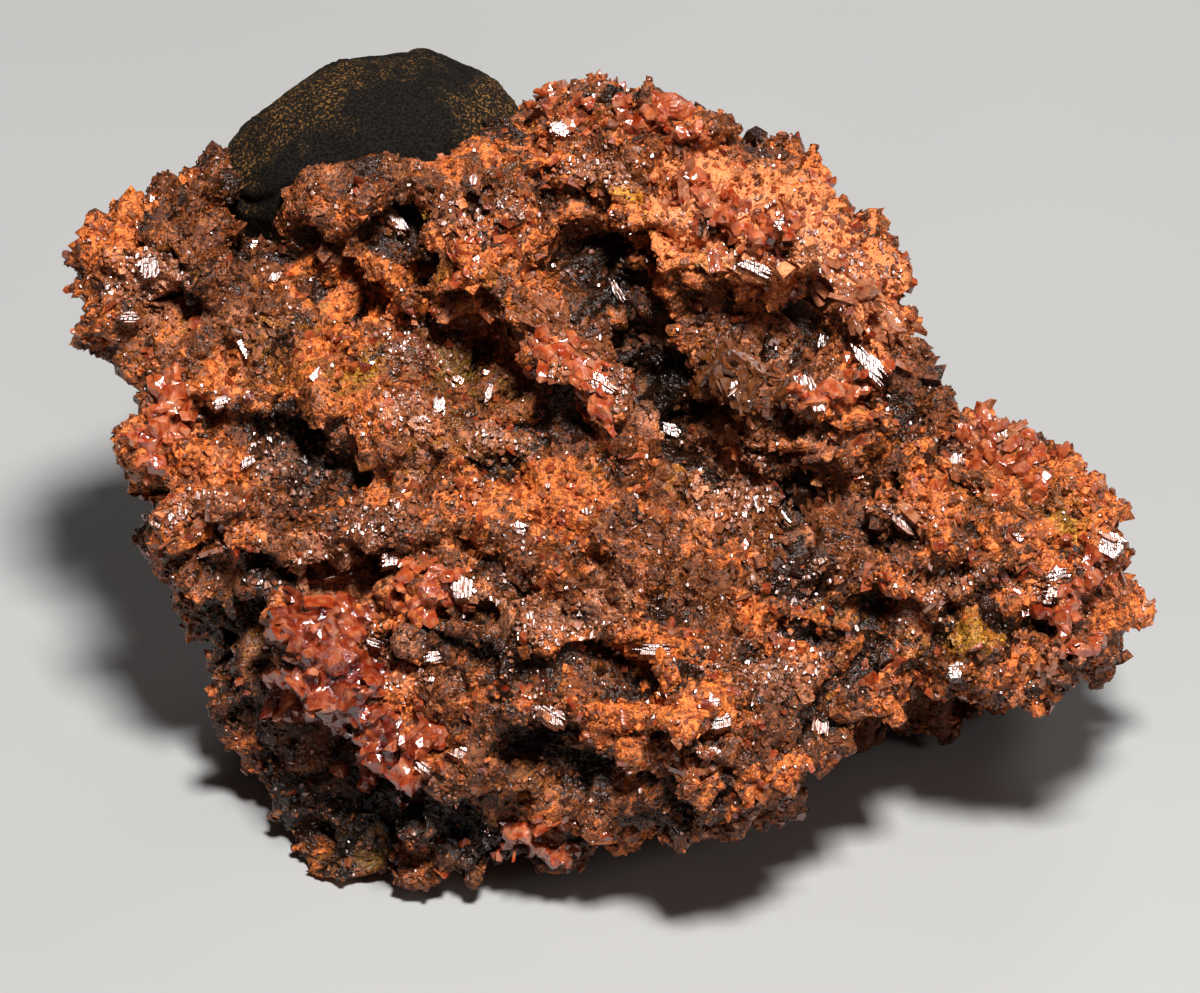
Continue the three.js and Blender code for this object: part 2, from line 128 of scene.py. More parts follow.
def along(run, steps):
    """Points spread along each stretch of a run."""
    return [Vector(a).lerp(Vector(b), k / steps) for a, b in zip(run, run[1:]) for k in range(steps + 1)]


def rock_under(tree, spot):
    """Where a line along the face normal meets the rock, drawn in towards the middle past the rock's edge."""
    while True:
        start = FACE_MIDDLE + FACE_TURN @ Vector((spot[0] * MM, spot[1] * MM, 0.08))
        hit, normal, _, _ = tree.ray_cast(start, -FACE_OUT)
        if hit:
            return hit, normal
        spot = spot * 0.97


def reshaped(mesh, kind, **settings):
    """A copy of a mesh after one modifier."""
    carrier = bpy.data.objects.new("carrier", mesh)
    bpy.context.collection.objects.link(carrier)
    modifier = carrier.modifiers.new("shape", kind)
    for key, value in settings.items():
        setattr(modifier, key, value)
    shaped = carrier.evaluated_get(bpy.context.evaluated_depsgraph_get())
    even = bpy.data.meshes.new_from_object(shaped)
    bpy.data.objects.remove(carrier)
    return even


def merged_copy(node):
    """The mesh of a solid of the frame, with its loose triangles joined."""
    solid = bmesh.new()
    solid.from_mesh(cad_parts[node].data)
    bmesh.ops.remove_doubles(solid, verts=solid.verts, dist=1e-7)
    return solid


def remeshed(solid, name, voxel):
    """One even mesh over a solid, which may be several that overlap."""
    rough = bpy.data.meshes.new("rough")
    solid.to_mesh(rough)
    solid.free()
    even = reshaped(rough, "REMESH", mode="VOXEL", voxel_size=voxel)
    even.name = name
    return even


def column(items, field, width=1):
    """A field of a mesh's points, edges or faces, with a row for each."""
    values = np.empty(len(items) * width, dtype=np.float32)
    items.foreach_get(field, values)
    return values.reshape(-1, width) if width > 1 else values


def evened(mesh, values, rounds):
    """Values of a mesh's points, each drawn towards its neighbours'."""
    ends = column(mesh.edges, "vertices", 2).astype(np.int64)
    degree = np.bincount(ends.ravel(), minlength=len(values))
    for _ in range(rounds):
        total = np.bincount(ends[:, 0], values[ends[:, 1]], len(values))
        total += np.bincount(ends[:, 1], values[ends[:, 0]], len(values))
        values = 0.5 * values + 0.5 * total / degree
    return values


def settle(mesh, points):
    """Moves a mesh's points to new places, and none of them below the ground."""
    points[:, 2] = np.maximum(points[:, 2], 0)
    mesh.vertices.foreach_set("co", points.astype(np.float32).ravel())


def raised(mesh, lift):
    """Moves each point of a mesh out of its surface by a lift in millimetres."""
    before = column(mesh.vertices, "co", 3)
    outward = column(mesh.vertices, "normal", 3)
    settle(mesh, before + outward * (lift * MM)[:, None])


def paint(mesh, name, values):
    """Keeps a value for every point of a mesh, for its material to read."""
    mesh.attributes.new(name, "FLOAT", "POINT").data.foreach_set("value", values.astype(np.float32))


ROCK_VOXEL = 0.225 * MM
ROCK_CHIPS = ((2.6, 0.9, 31), (1.25, 0.9, 41), (0.6, 0.42, 51))  # size, rise and salt, in millimetres
PIT_SIZE, PIT_DEPTH = 1.4, 1.2
CRUST_DEPTH = 0.5
PROUD, PROUD_SHARE = 0.15, 0.4  # chips that stand higher than this out of the solid are worn down to a share
GRIP_RISE, GRIP_REACH = 0.3, (0.4, 2.0)  # the rock's rise round the nodule, and how far from it that fades
FOOT_HEIGHT = (0.1, 1.0)  # between these heights the chips fade into the flat face that the rock rests on
CREVICE_STRAY = 0.6
# Crevices of the face: run, width and depth in millimetres.
CREVICES = (
    (((-1.0, 9.2), (0.2, 7.6), (1.5, 5.6), (2.4, 3.8)), 0.45, 1.1),
    (((2.4, 3.8), (3.4, 2.2), (4.6, 1.2)), 0.6, 0.9),
    (((2.4, 6.5), (5.0, 6.3), (7.4, 6.1)), 0.3, 0.5),
    (((-12.4, 2.6), (-11.2, 1.8), (-10.0, 1.2)), 0.7, 1.0),
    (((-11.6, -3.6), (-9.2, -3.2), (-7.6, -2.9)), 0.35, 1.0),
    (((-6.8, -5.0), (-4.6, -5.6), (-2.4, -6.2)), 0.4, 0.6),
    (((-9.4, -8.9), (-7.8, -11.0), (-4.4, -12.6)), 0.7, 1.4),
    (((9.6, -0.9), (11.4, -1.4)), 0.4, 0.9),
    (((5.4, 0.6), (7.4, -0.2)), 0.4, 0.6),
    (((-7.2, 9.4), (-6.4, 9.0)), 0.5, 0.6),
    (((8.0, -5.2), (9.6, -6.2)), 0.4, 0.9),
    (((12.6, 1.4), (13.6, 0.4), (14.8, 0.0)), 0.35, 0.9),
    (((13.6, -3.6), (14.8, -4.4)), 0.3, 0.8),
    (((17.2, -2.8), (17.6, -4.4)), 0.3, 0.8),
    (((11.8, -2.4), (12.8, -3.0)), 0.3, 0.8),
    (((-17.6, 7.4), (-16.4, 6.8), (-15.2, 6.9)), 0.3, 0.8),
    (((-16.2, 9.6), (-15.4, 8.6)), 0.3, 0.7),
)
# Holes with loose oxide in them: right, up and the reach of the fill.
SILTED_HOLES = (
    (2.9, 6.4, 0.9), (-7.3, 9.4, 0.9), (-6.6, 9.3, 1.0), (5.2, 2.2, 1.2), (6.4, 1.8, 1.3),
    (7.6, 1.6, 1.2), (8.6, 1.6, 1.0), (5.2, 0.9, 1.1), (6.6, 0.5, 1.1), (-15.2, 8.2, 1.1),
    (-14.6, 8.0, 1.0), (-6.4, -4.7, 1.1), (-5.4, -5.0, 1.0), (16.2, -4.7, 0.9), (-15.0, 7.6, 1.0),
)


def cut_in(face, crevices):
    """How deep the crevices are at each point of the face."""
    deepest = np.zeros(len(face))
    for run, width, depth in crevices:
        for start, end in zip(run, run[1:]):
            start, way = np.array(start), np.array(end) - start
            share = np.clip((face[:, :2] - start) @ way / (way @ way), 0, 1)
            apart = np.linalg.norm(face[:, :2] - start - share[:, None] * way, axis=1)
            deepest = np.maximum(deepest, depth * np.exp(-(apart / width) ** 2))
    return deepest


solid = merged_copy("matrix")
tree = BVHTree.FromBMesh(solid)
for run, reach in CLUSTER_RUNS.values():
    for spot in along(run, RUN_STEPS):
        hit, _ = rock_under(tree, spot)
        fill = Matrix.Translation(hit + FACE_OUT * reach * MM * 0.8)
        bmesh.ops.create_icosphere(solid, subdivisions=2, radius=reach * MM + POCKET_FILL, matrix=fill)
for right, up, reach in SILTED_HOLES:
    hit, _ = rock_under(tree, Vector((right, up)))
    bmesh.ops.create_icosphere(solid, subdivisions=2, radius=reach * MM,
                               matrix=Matrix.Translation(hit + FACE_OUT * 0.4 * reach * MM))
rock_mesh = remeshed(solid, "ironstone_rock", ROCK_VOXEL)

before = column(rock_mesh.vertices, "co", 3)
outward = column(rock_mesh.vertices, "normal", 3)
face = on_face(before)
lift = np.zeros(len(before))
rock_tone = np.zeros(len(before))
for size, rise, salt in ROCK_CHIPS:
    height, tone = chips(face, size, salt)
    lift += height * rise
    rock_tone += tone / len(ROCK_CHIPS)
lift -= PIT_DEPTH * smoothstep(clouds(face, PIT_SIZE, 64), 0.66, 0.8)
facing = smoothstep(outward @ np.array(FACE_OUT), -0.3, 0.2)
stray = np.stack([clouds(face, 1.0, 66 + k) - 0.5 for k in range(3)], axis=1)
crevice = facing * cut_in(face + CREVICE_STRAY * stray, CREVICES)
lift = evened(rock_mesh, lift - crevice, 2)
# The crust's grains stand on the rock, so its skin lies a little inside the solid, except where it rests and
# where it holds the nodule.
nodule = merged_copy("black_nodule")
nodule_tree = BVHTree.FromBMesh(nodule)
nodule.free()
apart = np.array([nodule_tree.find_nearest(place)[3] for place in before.tolist()]) / MM
held = smoothstep(apart, *GRIP_REACH)
skin = held * lift - held * CRUST_DEPTH + (1 - held) * GRIP_RISE
skin = skin * smoothstep(before[:, 2] / MM, *FOOT_HEIGHT)
skin = np.where(skin > PROUD, PROUD + PROUD_SHARE * (skin - PROUD), skin)
raised(rock_mesh, skin)

# Patches of the face by finish, and patches of painted light and shade: right and up of the middle, radii,
# and turn in degrees.
ORANGE_PATCHES = (
    (5.1, 9.8, 5.0, 3.0, -20), (9.8, 7.2, 1.8, 2.0, 0), (-4.5, 9.8, 2.5, 1.6, 0),
    (-2.3, 12.0, 1.6, 1.2, 0), (-4.5, 5.4, 3.0, 2.0, -18), (-9.6, 5.8, 1.8, 1.6, 0),
    (-15.5, 2.6, 1.6, 2.2, 0), (-14.6, -0.7, 2.0, 1.8, 0), (-18.0, 9.8, 1.8, 1.5, 0),
    (-2.6, 0.3, 2.6, 1.5, 10), (-6.5, -3.3, 2.5, 1.3, 0), (-9.6, -5.6, 3.0, 1.8, -40),
    (5.8, -10.0, 2.2, 1.4, 0), (1.8, -7.0, 4.0, 1.6, -10), (7.3, -4.5, 3.0, 1.4, -15),
    (14.6, -2.3, 4.5, 3.5, 0), (18.6, -4.7, 1.2, 1.2, 0), (12.0, -0.8, 2.0, 1.5, 0),
    (9.1, 2.5, 1.6, 1.6, 0), (-7.5, -8.6, 2.6, 1.6, -45),
)
BROWN_PATCHES = (
    (5.2, 3.8, 4.4, 2.4, -30), (6.6, 0.4, 5.0, 2.4, -28), (1.8, -2.3, 3.2, 1.6, 0),
    (-2.6, -4.2, 2.4, 1.0, -10), (-13.4, 8.0, 2.0, 2.0, 0), (1.0, 11.6, 2.2, 1.6, -30),
    (-10.0, -2.4, 3.0, 1.2, 14), (4.6, -9.0, 2.0, 1.0, 0),
)
# Dark patches: partly black oxide, and partly painted shade on the lower left wall, along the bottom and in
# the deep crevices.
OXIDE_AND_SHADE_PATCHES = (
    (-11.4, 1.9, 2.2, 1.0, -20), (-10.7, 6.9, 0.9, 1.4, 0), (-12.6, 6.5, 0.9, 1.2, 0),
    (-11.8, -8.2, 2.4, 5.0, 15), (-4.5, -12.6, 4.6, 1.6, -10), (10.9, -1.2, 1.2, 0.7, 0),
    (8.4, -4.9, 0.9, 0.7, 0), (-6.7, 9.2, 1.0, 0.8, 0), (-6.8, -5.4, 1.4, 0.6, 10),
    (14.2, 0.2, 1.2, 0.5, 0), (-9.4, -11.5, 2.4, 2.4, 0), (16.8, -5.4, 0.8, 0.6, 0),
    (0.3, 7.5, 2.2, 0.7, -58), (2.2, 4.4, 2.2, 0.9, -58), (3.4, 2.4, 1.6, 0.9, -45),
    (13.2, -1.0, 0.5, 0.4, 0), (15.3, -0.6, 0.8, 0.3, 10), (14.4, -4.4, 0.7, 0.4, 0),
    (17.6, -4.2, 0.5, 0.7, 0), (12.2, -2.8, 0.6, 0.4, 0), (16.0, 0.4, 0.5, 0.3, 0),
    (18.8, -5.2, 0.5, 0.4, 0), (12.4, 1.6, 0.7, 0.3, -40),
)
OCHRE_PATCHES = (
    (-8.3, 5.2, 0.5, 0.45, 0), (-6.3, 8.3, 0.6, 0.35, 0), (-3.7, 8.3, 0.5, 0.35, 0),
    (0.7, 11.3, 0.6, 0.5, 0), (3.6, 8.0, 0.6, 0.4, 0), (13.3, -5.2, 1.4, 0.6, 10),
    (17.2, -0.7, 0.7, 0.5, 0), (15.5, 1.5, 0.6, 0.4, 0), (3.2, 1.0, 0.4, 0.35, 0),
    (-8.5, -13.6, 0.4, 0.3, 0), (-10.0, -12.6, 0.5, 0.4, 0), (-5.6, 5.0, 0.6, 0.5, 0),
    (6.4, -1.4, 0.4, 0.4, 0), (8.8, 6.4, 0.4, 0.3, 0), (-2.0, -9.4, 0.6, 0.35, 0),
    (5.3, 3.8, 0.4, 0.35, 0),
)
# Patches of painted light, where the crust is coloured paler, brighter and more orange, as if lit more
# strongly.
PAINTED_LIGHT_PATCHES = ((5.6, 9.8, 5.4, 3.0, -20), (9.6, 7.4, 2.0, 2.0, 0))
# Patches of painted shade, where the crust is coloured darker as if in shadow: mostly the lower left wall,
# the bottom edge and the long crevice.
PAINTED_SHADE_PATCHES = (
    (-12.0, -8.4, 2.6, 4.6, 15), (-4.5, -13.0, 5.0, 1.6, -10), (-5.0, 4.4, 3.0, 1.4, -18),
    (-9.6, -9.4, 2.0, 2.4, 30), (1.0, 6.9, 2.4, 1.0, -58), (2.8, 4.0, 2.2, 0.9, -50),
    (-9.0, -13.0, 3.0, 1.8, 0),
)
AMBER_PATCHES = (
    (-5.0, 4.6, 4.4, 2.4, -18), (-11.4, 5.4, 3.0, 2.2, 0), (12.6, -5.0, 3.0, 1.4, 10),
    (-16.6, 5.4, 1.8, 1.2, 0), (9.0, -3.6, 3.0, 1.2, -15), (2.6, 9.2, 2.0, 1.2, -30),
    (-3.4, -10.4, 2.4, 1.2, 0), (16.8, 0.4, 1.8, 1.6, 0), (-12.6, -5.4, 1.6, 1.6, 0),
    (-9.4, -13.2, 2.0, 1.2, 0),
)
# Patches of pale frosted crust, their pinkish pale colour partly painted sheen.
FROST_AND_SHEEN_PATCHES = (
    (5.8, 9.4, 3.4, 1.7, -20), (8.2, 8.2, 1.6, 1.2, 0), (-16.8, 8.1, 1.6, 1.2, 0),
    (-15.5, 3.7, 1.3, 0.6, 0), (-14.4, -0.5, 1.9, 1.2, 0), (-9.8, -2.5, 2.8, 0.6, 14),
    (-8.1, -0.8, 1.3, 0.8, 0), (-6.7, 3.2, 1.3, 0.9, 0), (-0.6, 4.3, 1.6, 0.7, -40),
    (-8.6, -5.3, 2.7, 0.9, -30), (-4.8, -3.4, 1.1, 0.7, 0), (-1.5, -4.2, 2.2, 0.9, 0),
    (-1.7, -8.0, 1.1, 0.7, -30), (3.2, -9.7, 1.8, 0.7, 0), (11.1, -0.8, 1.1, 0.7, -40),
    (18.3, -2.3, 0.8, 1.1, 0), (16.4, -3.4, 0.9, 0.8, 0), (14.0, 2.1, 1.3, 0.6, 0),
    (0.0, 12.0, 1.3, 0.9, 0), (-4.5, 10.5, 1.8, 1.0, 0), (6.6, -6.4, 2.2, 0.9, -20),
    (12.6, -3.2, 1.6, 1.0, 0), (-2.4, 7.0, 1.6, 0.8, -40), (-10.8, 1.6, 1.6, 1.0, 0),
    (-6.2, 5.8, 2.0, 1.0, 0), (-3.4, 2.6, 1.5, 0.8, 0), (4.8, 0.6, 1.8, 1.0, -20),
    (7.8, -2.6, 1.4, 0.9, 0),
)


def patched(face, patches):
    """How strongly each point lies in any of the patches, from 0 to 1."""
    strongest = np.zeros(len(face))
    for right, up, radius_right, radius_up, turn in patches:
        cos, sin = math.cos(math.radians(turn)), math.sin(math.radians(turn))
        du, dv = face[:, 0] - right, face[:, 1] - up
        far = ((du * cos + dv * sin) / radius_right) ** 2 + ((dv * cos - du * sin) / radius_up) ** 2
        strongest = np.maximum(strongest, np.exp(-far ** 1.5))
    return strongest


in_orange, in_brown, in_oxide_and_shade, in_ochre, in_amber, in_frost_and_sheen, in_painted_light, in_painted_shade = (
    facing * patched(face, patches) for patches in (
        ORANGE_PATCHES, BROWN_PATCHES, OXIDE_AND_SHADE_PATCHES, OCHRE_PATCHES, AMBER_PATCHES, FROST_AND_SHEEN_PATCHES,
        PAINTED_LIGHT_PATCHES, PAINTED_SHADE_PATCHES))
# Each zone is the chance that a grain there is of its kind. The zones also hold painted light and shade:
# in crevices and low places the dark share rises and the orange share falls as painted shade, the frost
# share rises on raised places as painted highlight, and the pale zone is painted light above a half and
# painted shade below it.
crusted = smoothstep(clouds(face, 1.7, 61), 0.46, 0.66)
sooty = smoothstep(clouds(face, 1.9, 62), 0.5, 0.7)
rock_zones = {
    "orange": (0.16 + 0.4 * crusted + 0.45 * in_orange + 0.25 * in_painted_light - 0.3 * in_brown - 0.35 * in_oxide_and_shade
               + 0.1 * lift - 0.3 * crevice),
    "dark": (0.2 + 0.35 * sooty + 0.42 * in_oxide_and_shade - 0.2 * in_orange - 0.4 * in_painted_light - 0.4 * lift
             + 0.2 * crevice),
    "ochre": 0.2 * clouds(face, 2.3, 63) + 0.55 * in_ochre + 0.2 * in_amber - 0.1 * lift,
    "frost": 0.15 * crusted + 0.75 * in_frost_and_sheen + 0.2 * lift,
    "pale": 0.5 + 0.5 * in_painted_light - 0.45 * in_painted_shade,
    "tone": 0.5 + 1.4 * (rock_tone - 0.5),
}
rock_zones = {name: np.clip(values, 0, 1) for name, values in rock_zones.items()}
for name, values in rock_zones.items():
    paint(rock_mesh, name, values)
rock_mesh.shade_smooth()


def add(tree, kind, inputs=(), **settings):
    """Adds a shader node with its settings. Its inputs are set, or linked where a socket is given."""
    made = tree.nodes.new(kind)
    for key, value in settings.items():
        setattr(made, key, value)
    for key, value in dict(inputs).items():
        if isinstance(value, bpy.types.NodeSocket):
            tree.links.new(value, made.inputs[key])
        else:
            made.inputs[key].default_value = value
    return made


def mixed(tree, factor, first, second):
    """The socket of a blend of two colours."""
    return add(tree, "ShaderNodeMix", {0: factor, 6: first, 7: second}, data_type="RGBA").outputs[2]


def graded(tree, factor, first, second):
    """The socket of a blend of two values."""
    return add(tree, "ShaderNodeMix", {0: factor, 2: first, 3: second}).outputs[0]


def sums(tree, operation, first, second):
    """The socket of a sum on two values."""
    return add(tree, "ShaderNodeMath", {0: first, 1: second}, operation=operation).outputs[0]


def stepped(tree, value, low, high):
    """The socket of a soft step from 0 to 1."""
    ramp = add(tree, "ShaderNodeMapRange", {"Value": value, "From Min": low, "From Max": high},
               interpolation_type="SMOOTHSTEP")
    return ramp.outputs["Result"]


def ranged(tree, value, source, target):
    """The socket of a value carried from one range to another."""
    ramp = add(tree, "ShaderNodeMapRange", {"Value": value, "From Min": source[0], "From Max": source[1],
                                            "To Min": target[0], "To Max": target[1]})
    return ramp.outputs["Result"]


def speckle(tree, size, detail=3.0, shift=0.0):
    """The socket of noise with blotches of a size in millimetres, on the piece's own coordinates."""
    place = add(tree, "ShaderNodeTexCoord").outputs["Object"]
    moved = add(tree, "ShaderNodeMapping", {"Vector": place, "Location": (shift, shift, shift)}).outputs[0]
    noise = add(tree, "ShaderNodeTexNoise", {"Vector": moved, "Scale": 1 / (size * MM), "Detail": detail})
    return noise.outputs[0]


def roughen(tree, shader, height, strength, depth):
    """Roughens a finish by a height, to a depth in millimetres."""
    bump = add(tree, "ShaderNodeBump", {"Height": height, "Strength": strength, "Distance": depth * MM})
    tree.links.new(bump.outputs["Normal"], shader.inputs["Normal"])


def kept(tree, name):
    """The socket of a value that is painted on the piece."""
    return add(tree, "ShaderNodeAttribute", attribute_name=name).outputs["Fac"]


def finish(name, tree_maker, **plain):
    """A material: a Principled shader with plain values, and what the maker links to it."""
    material = bpy.data.materials.new(name)
    material.use_nodes = True
    shader = material.node_tree.nodes["Principled BSDF"]
    for socket, value in plain.items():
        shader.inputs[socket.replace("_", " ")].default_value = value
    tree_maker(material.node_tree, shader)
    return material


# Some colours also stand for light: the black is painted shade as well as oxide, the pinkish tan and the
# frost are painted sheen as well as their own colour, and the pale orange is painted light.
OXIDE_AND_SHADE_BLACK = (0.011, 0.006, 0.003, 1)
DARK_BROWN = (0.060, 0.017, 0.006, 1)
MID_BROWN = (0.220, 0.056, 0.013, 1)
TAN_AND_SHEEN = (0.420, 0.150, 0.072, 1)
DEEP_ORANGE = (0.300, 0.052, 0.010, 1)
BRIGHT_ORANGE = (0.860, 0.215, 0.038, 1)
PAINTED_LIT_ORANGE = (0.900, 0.300, 0.108, 1)
AMBER = (0.360, 0.115, 0.014, 1)
OCHRE_YELLOW = (0.520, 0.235, 0.022, 1)
FROST_AND_SHEEN = (0.740, 0.320, 0.170, 1)
BRIGHTEST = 0.9  # the most red light that a grain throws back
ZONES = ("Orange", "Dark", "Ochre", "Frost", "Pale", "Tone")


def crust_group():
    """The crust's colour and roughness from its painted zones and fine grain, shared by rock and grains."""
    group = bpy.data.node_groups.new("chromate_crust", "ShaderNodeTree")
    sockets = group.interface
    for socket in ZONES:
        sockets.new_socket(socket, in_out="INPUT", socket_type="NodeSocketFloat")
    sockets.new_socket("Colour", in_out="OUTPUT", socket_type="NodeSocketColor")
    sockets.new_socket("Roughness", in_out="OUTPUT", socket_type="NodeSocketFloat")
    sockets.new_socket("Height", in_out="OUTPUT", socket_type="NodeSocketFloat")
    zone = group.nodes.new("NodeGroupInput").outputs

    def edged(zone_name, size, spread, tone_share, low, high):
        """Where a kind of grain lies: its zone, with a ragged edge, and a few grains that stray."""
        ragged = sums(group, "SUBTRACT", speckle(group, size, shift=low), 0.5)
        near = sums(group, "ADD", zone[zone_name], sums(group, "MULTIPLY", ragged, spread))
        stray = sums(group, "SUBTRACT", zone["Tone"], 0.5)
        near = sums(group, "ADD", near, sums(group, "MULTIPLY", stray, tone_share))
        return stepped(group, near, low, high)

    is_orange = edged("Orange", 0.4, 1.5, 1.0, 0.36, 0.76)
    is_dark = edged("Dark", 0.35, 1.5, -1.0, 0.45, 0.75)
    is_amber = edged("Ochre", 0.5, 1.4, 0.3, 0.25, 0.6)
    is_ochre = edged("Ochre", 0.35, 1.4, 0.5, 0.6, 0.8)
    is_frost_and_sheen = edged("Frost", 0.25, 1.6, 0.6, 0.45, 0.85)
    grain = speckle(group, 0.16)
    fine = speckle(group, 0.07, 2.0, shift=0.3)
    brown = mixed(group, stepped(group, grain, 0.35, 0.6), DARK_BROWN, MID_BROWN)
    # Some brown grains turn pinkish tan: their own colour in part, and in part painted sheen.
    brown = mixed(group, stepped(group, zone["Tone"], 0.56, 0.92), brown, TAN_AND_SHEEN)
    bright = stepped(group, speckle(group, 0.22, shift=0.7), 0.32, 0.62)
    orange = mixed(group, bright, DEEP_ORANGE, BRIGHT_ORANGE)
    # Painted light: the orange turns paler where the pale zone is high.
    painted_light_share = sums(group, "MULTIPLY", stepped(group, zone["Pale"], 0.55, 0.95), 0.85)
    orange = mixed(group, painted_light_share, orange, PAINTED_LIT_ORANGE)
    colour = mixed(group, is_orange, brown, orange)
    colour = mixed(group, is_amber, colour, AMBER)
    # Dark grains: black oxide, and painted shade where the dark zone holds shade.
    colour = mixed(group, is_dark, colour, mixed(group, grain, OXIDE_AND_SHADE_BLACK, DARK_BROWN))
    colour = mixed(group, sums(group, "MULTIPLY", is_ochre, 0.8), colour, OCHRE_YELLOW)
    # Frost: a pale frosted crust, its pinkish colour partly painted sheen.
    colour = mixed(group, sums(group, "MULTIPLY", is_frost_and_sheen, 0.4), colour, FROST_AND_SHEEN)
    # The tone's later digits shade each grain by itself.
    digits = sums(group, "MULTIPLY", zone["Tone"], 7.3)
    own = add(group, "ShaderNodeMath", {0: digits}, operation="FRACT").outputs[0]
    shade = ranged(group, own, (0, 1), (0.45, 1.5))
    shade = sums(group, "MULTIPLY", shade, ranged(group, fine, (0.3, 0.7), (0.3, 1.45)))
    # Painted light and shade: the pale zone makes the colour brighter or darker, as stronger or weaker light
    # would.
    shade = sums(group, "MULTIPLY", shade, ranged(group, zone["Pale"], (0, 1), (0.3, 1.75)))
    colour = add(group, "ShaderNodeHueSaturation", {"Value": shade, "Color": colour}).outputs[0]
    # A colour that is too bright is scaled down whole, so that it keeps its hue.
    red = add(group, "ShaderNodeSeparateColor", {0: colour}).outputs[0]
    over = sums(group, "MAXIMUM", sums(group, "DIVIDE", red, BRIGHTEST), 1.0)
    colour = add(group, "ShaderNodeVectorMath", {0: colour, 1: over}, operation="DIVIDE").outputs[0]
    wet = stepped(group, speckle(group, 0.9, shift=0.6), 0.4, 0.54)
    rough = graded(group, wet, 0.75, 0.14)
    rough = graded(group, sums(group, "MULTIPLY", is_orange, 0.6), rough, 0.7)
    rough = graded(group, is_frost_and_sheen, rough, 0.16)
    rough = graded(group, sums(group, "MULTIPLY", is_dark, 0.7), rough, 0.2)
    out = group.nodes.new("NodeGroupOutput")
    group.links.new(colour, out.inputs["Colour"])
    group.links.new(rough, out.inputs["Roughness"])
    group.links.new(speckle(group, 0.2), out.inputs["Height"])
    return group


CRUST = crust_group()


def crust_finish(tree, shader):
    crust = add(tree, "ShaderNodeGroup", node_tree=CRUST)
    for zone in ZONES:
        tree.links.new(kept(tree, zone.lower()), crust.inputs[zone])
    tree.links.new(crust.outputs["Colour"], shader.inputs["Base Color"])
    tree.links.new(crust.outputs["Roughness"], shader.inputs["Roughness"])
    roughen(tree, shader, crust.outputs["Height"], 1.0, 0.2)


crust_stone = finish("chromate_crust_stone", crust_finish, IOR=1.46)


def stand(name, mesh, material, slot, *nodes):
    """Puts a finished piece in the scene, in place of the solids that it stands for."""
    piece = bpy.data.objects.new(name, mesh)
    bpy.context.collection.objects.link(piece)
    mesh.materials.clear()
    mesh.materials.append(material)
    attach(piece, "root")
    if nodes:
        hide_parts(*nodes)


stand("ironstone_rock", rock_mesh, crust_stone, "ironstone", "matrix")


# Black nodule
# A smooth water-worn lump of black ironstone, set in the rock's upper edge. It is fine-grained and matte,
# with ochre specks in its pores and a hairline crack across its left end.
NODULE_VOXEL = 0.16 * MM
CRACK_UP, CRACK_WIDTH, CRACK_DEPTH = 11.2, 0.16, 0.22
NODULE_SWELL = 0.15  # fills the gap to the rock

nodule_mesh = remeshed(merged_copy("black_nodule"), "nodule", NODULE_VOXEL)
face = on_face(column(nodule_mesh.vertices, "co", 3))
grain, _ = chips(face, 0.42, 71)
wave = clouds(face, 2.6, 72) - 0.5
off_crack = face[:, 1] - CRACK_UP - 0.25 * np.sin(face[:, 0] * 2.1)
crack = np.exp(-(off_crack / CRACK_WIDTH) ** 2) * smoothstep(-face[:, 0], 10.4, 11.6)
raised(nodule_mesh, NODULE_SWELL + 0.05 * grain + 0.3 * wave - CRACK_DEPTH * crack)
left_end = smoothstep(-face[:, 0], 9.0, 13.0)
right_end = smoothstep(face[:, 0], -5.0, -3.4)
paint(nodule_mesh, "specks", clouds(face, 2.4, 73) + 0.35 * left_end + 0.3 * right_end)
paint(nodule_mesh, "crack", crack)
nodule_mesh.shade_smooth()


def nodule_finish(tree, shader):
    grain = speckle(tree, 0.1)
    pores = stepped(tree, speckle(tree, 0.11, 2.0, shift=0.4), 0.54, 0.62)
    rust = stepped(tree, sums(tree, "ADD", kept(tree, "specks"), speckle(tree, 0.9, shift=0.9)), 0.95, 1.4)
    black = mixed(tree, stepped(tree, grain, 0.35, 0.7), (0.002, 0.0016, 0.0012, 1), (0.014, 0.011, 0.008, 1))
    black = mixed(tree, sums(tree, "MULTIPLY", rust, 0.1), black, (0.060, 0.036, 0.016, 1))
    colour = mixed(tree, sums(tree, "MULTIPLY", pores, rust), black, (0.190, 0.090, 0.024, 1))
    colour = mixed(tree, kept(tree, "crack"), colour, (0.004, 0.003, 0.003, 1))
    tree.links.new(colour, shader.inputs["Base Color"])
    roughen(tree, shader, grain, 0.8, 0.08)


stand("ironstone_nodule", nodule_mesh, finish("black_ironstone", nodule_finish, Roughness=0.85, IOR=1.2),
      "black_ironstone", "black_nodule")


# Crocoite clusters
# Lead chromate crystals, glassy and orange-red, grown together in pockets of the rock. Each is a four-sided
# prism with a sloping end. They grew from massive crocoite, out of the pocket and over its edge.
rng = np.random.default_rng(20)


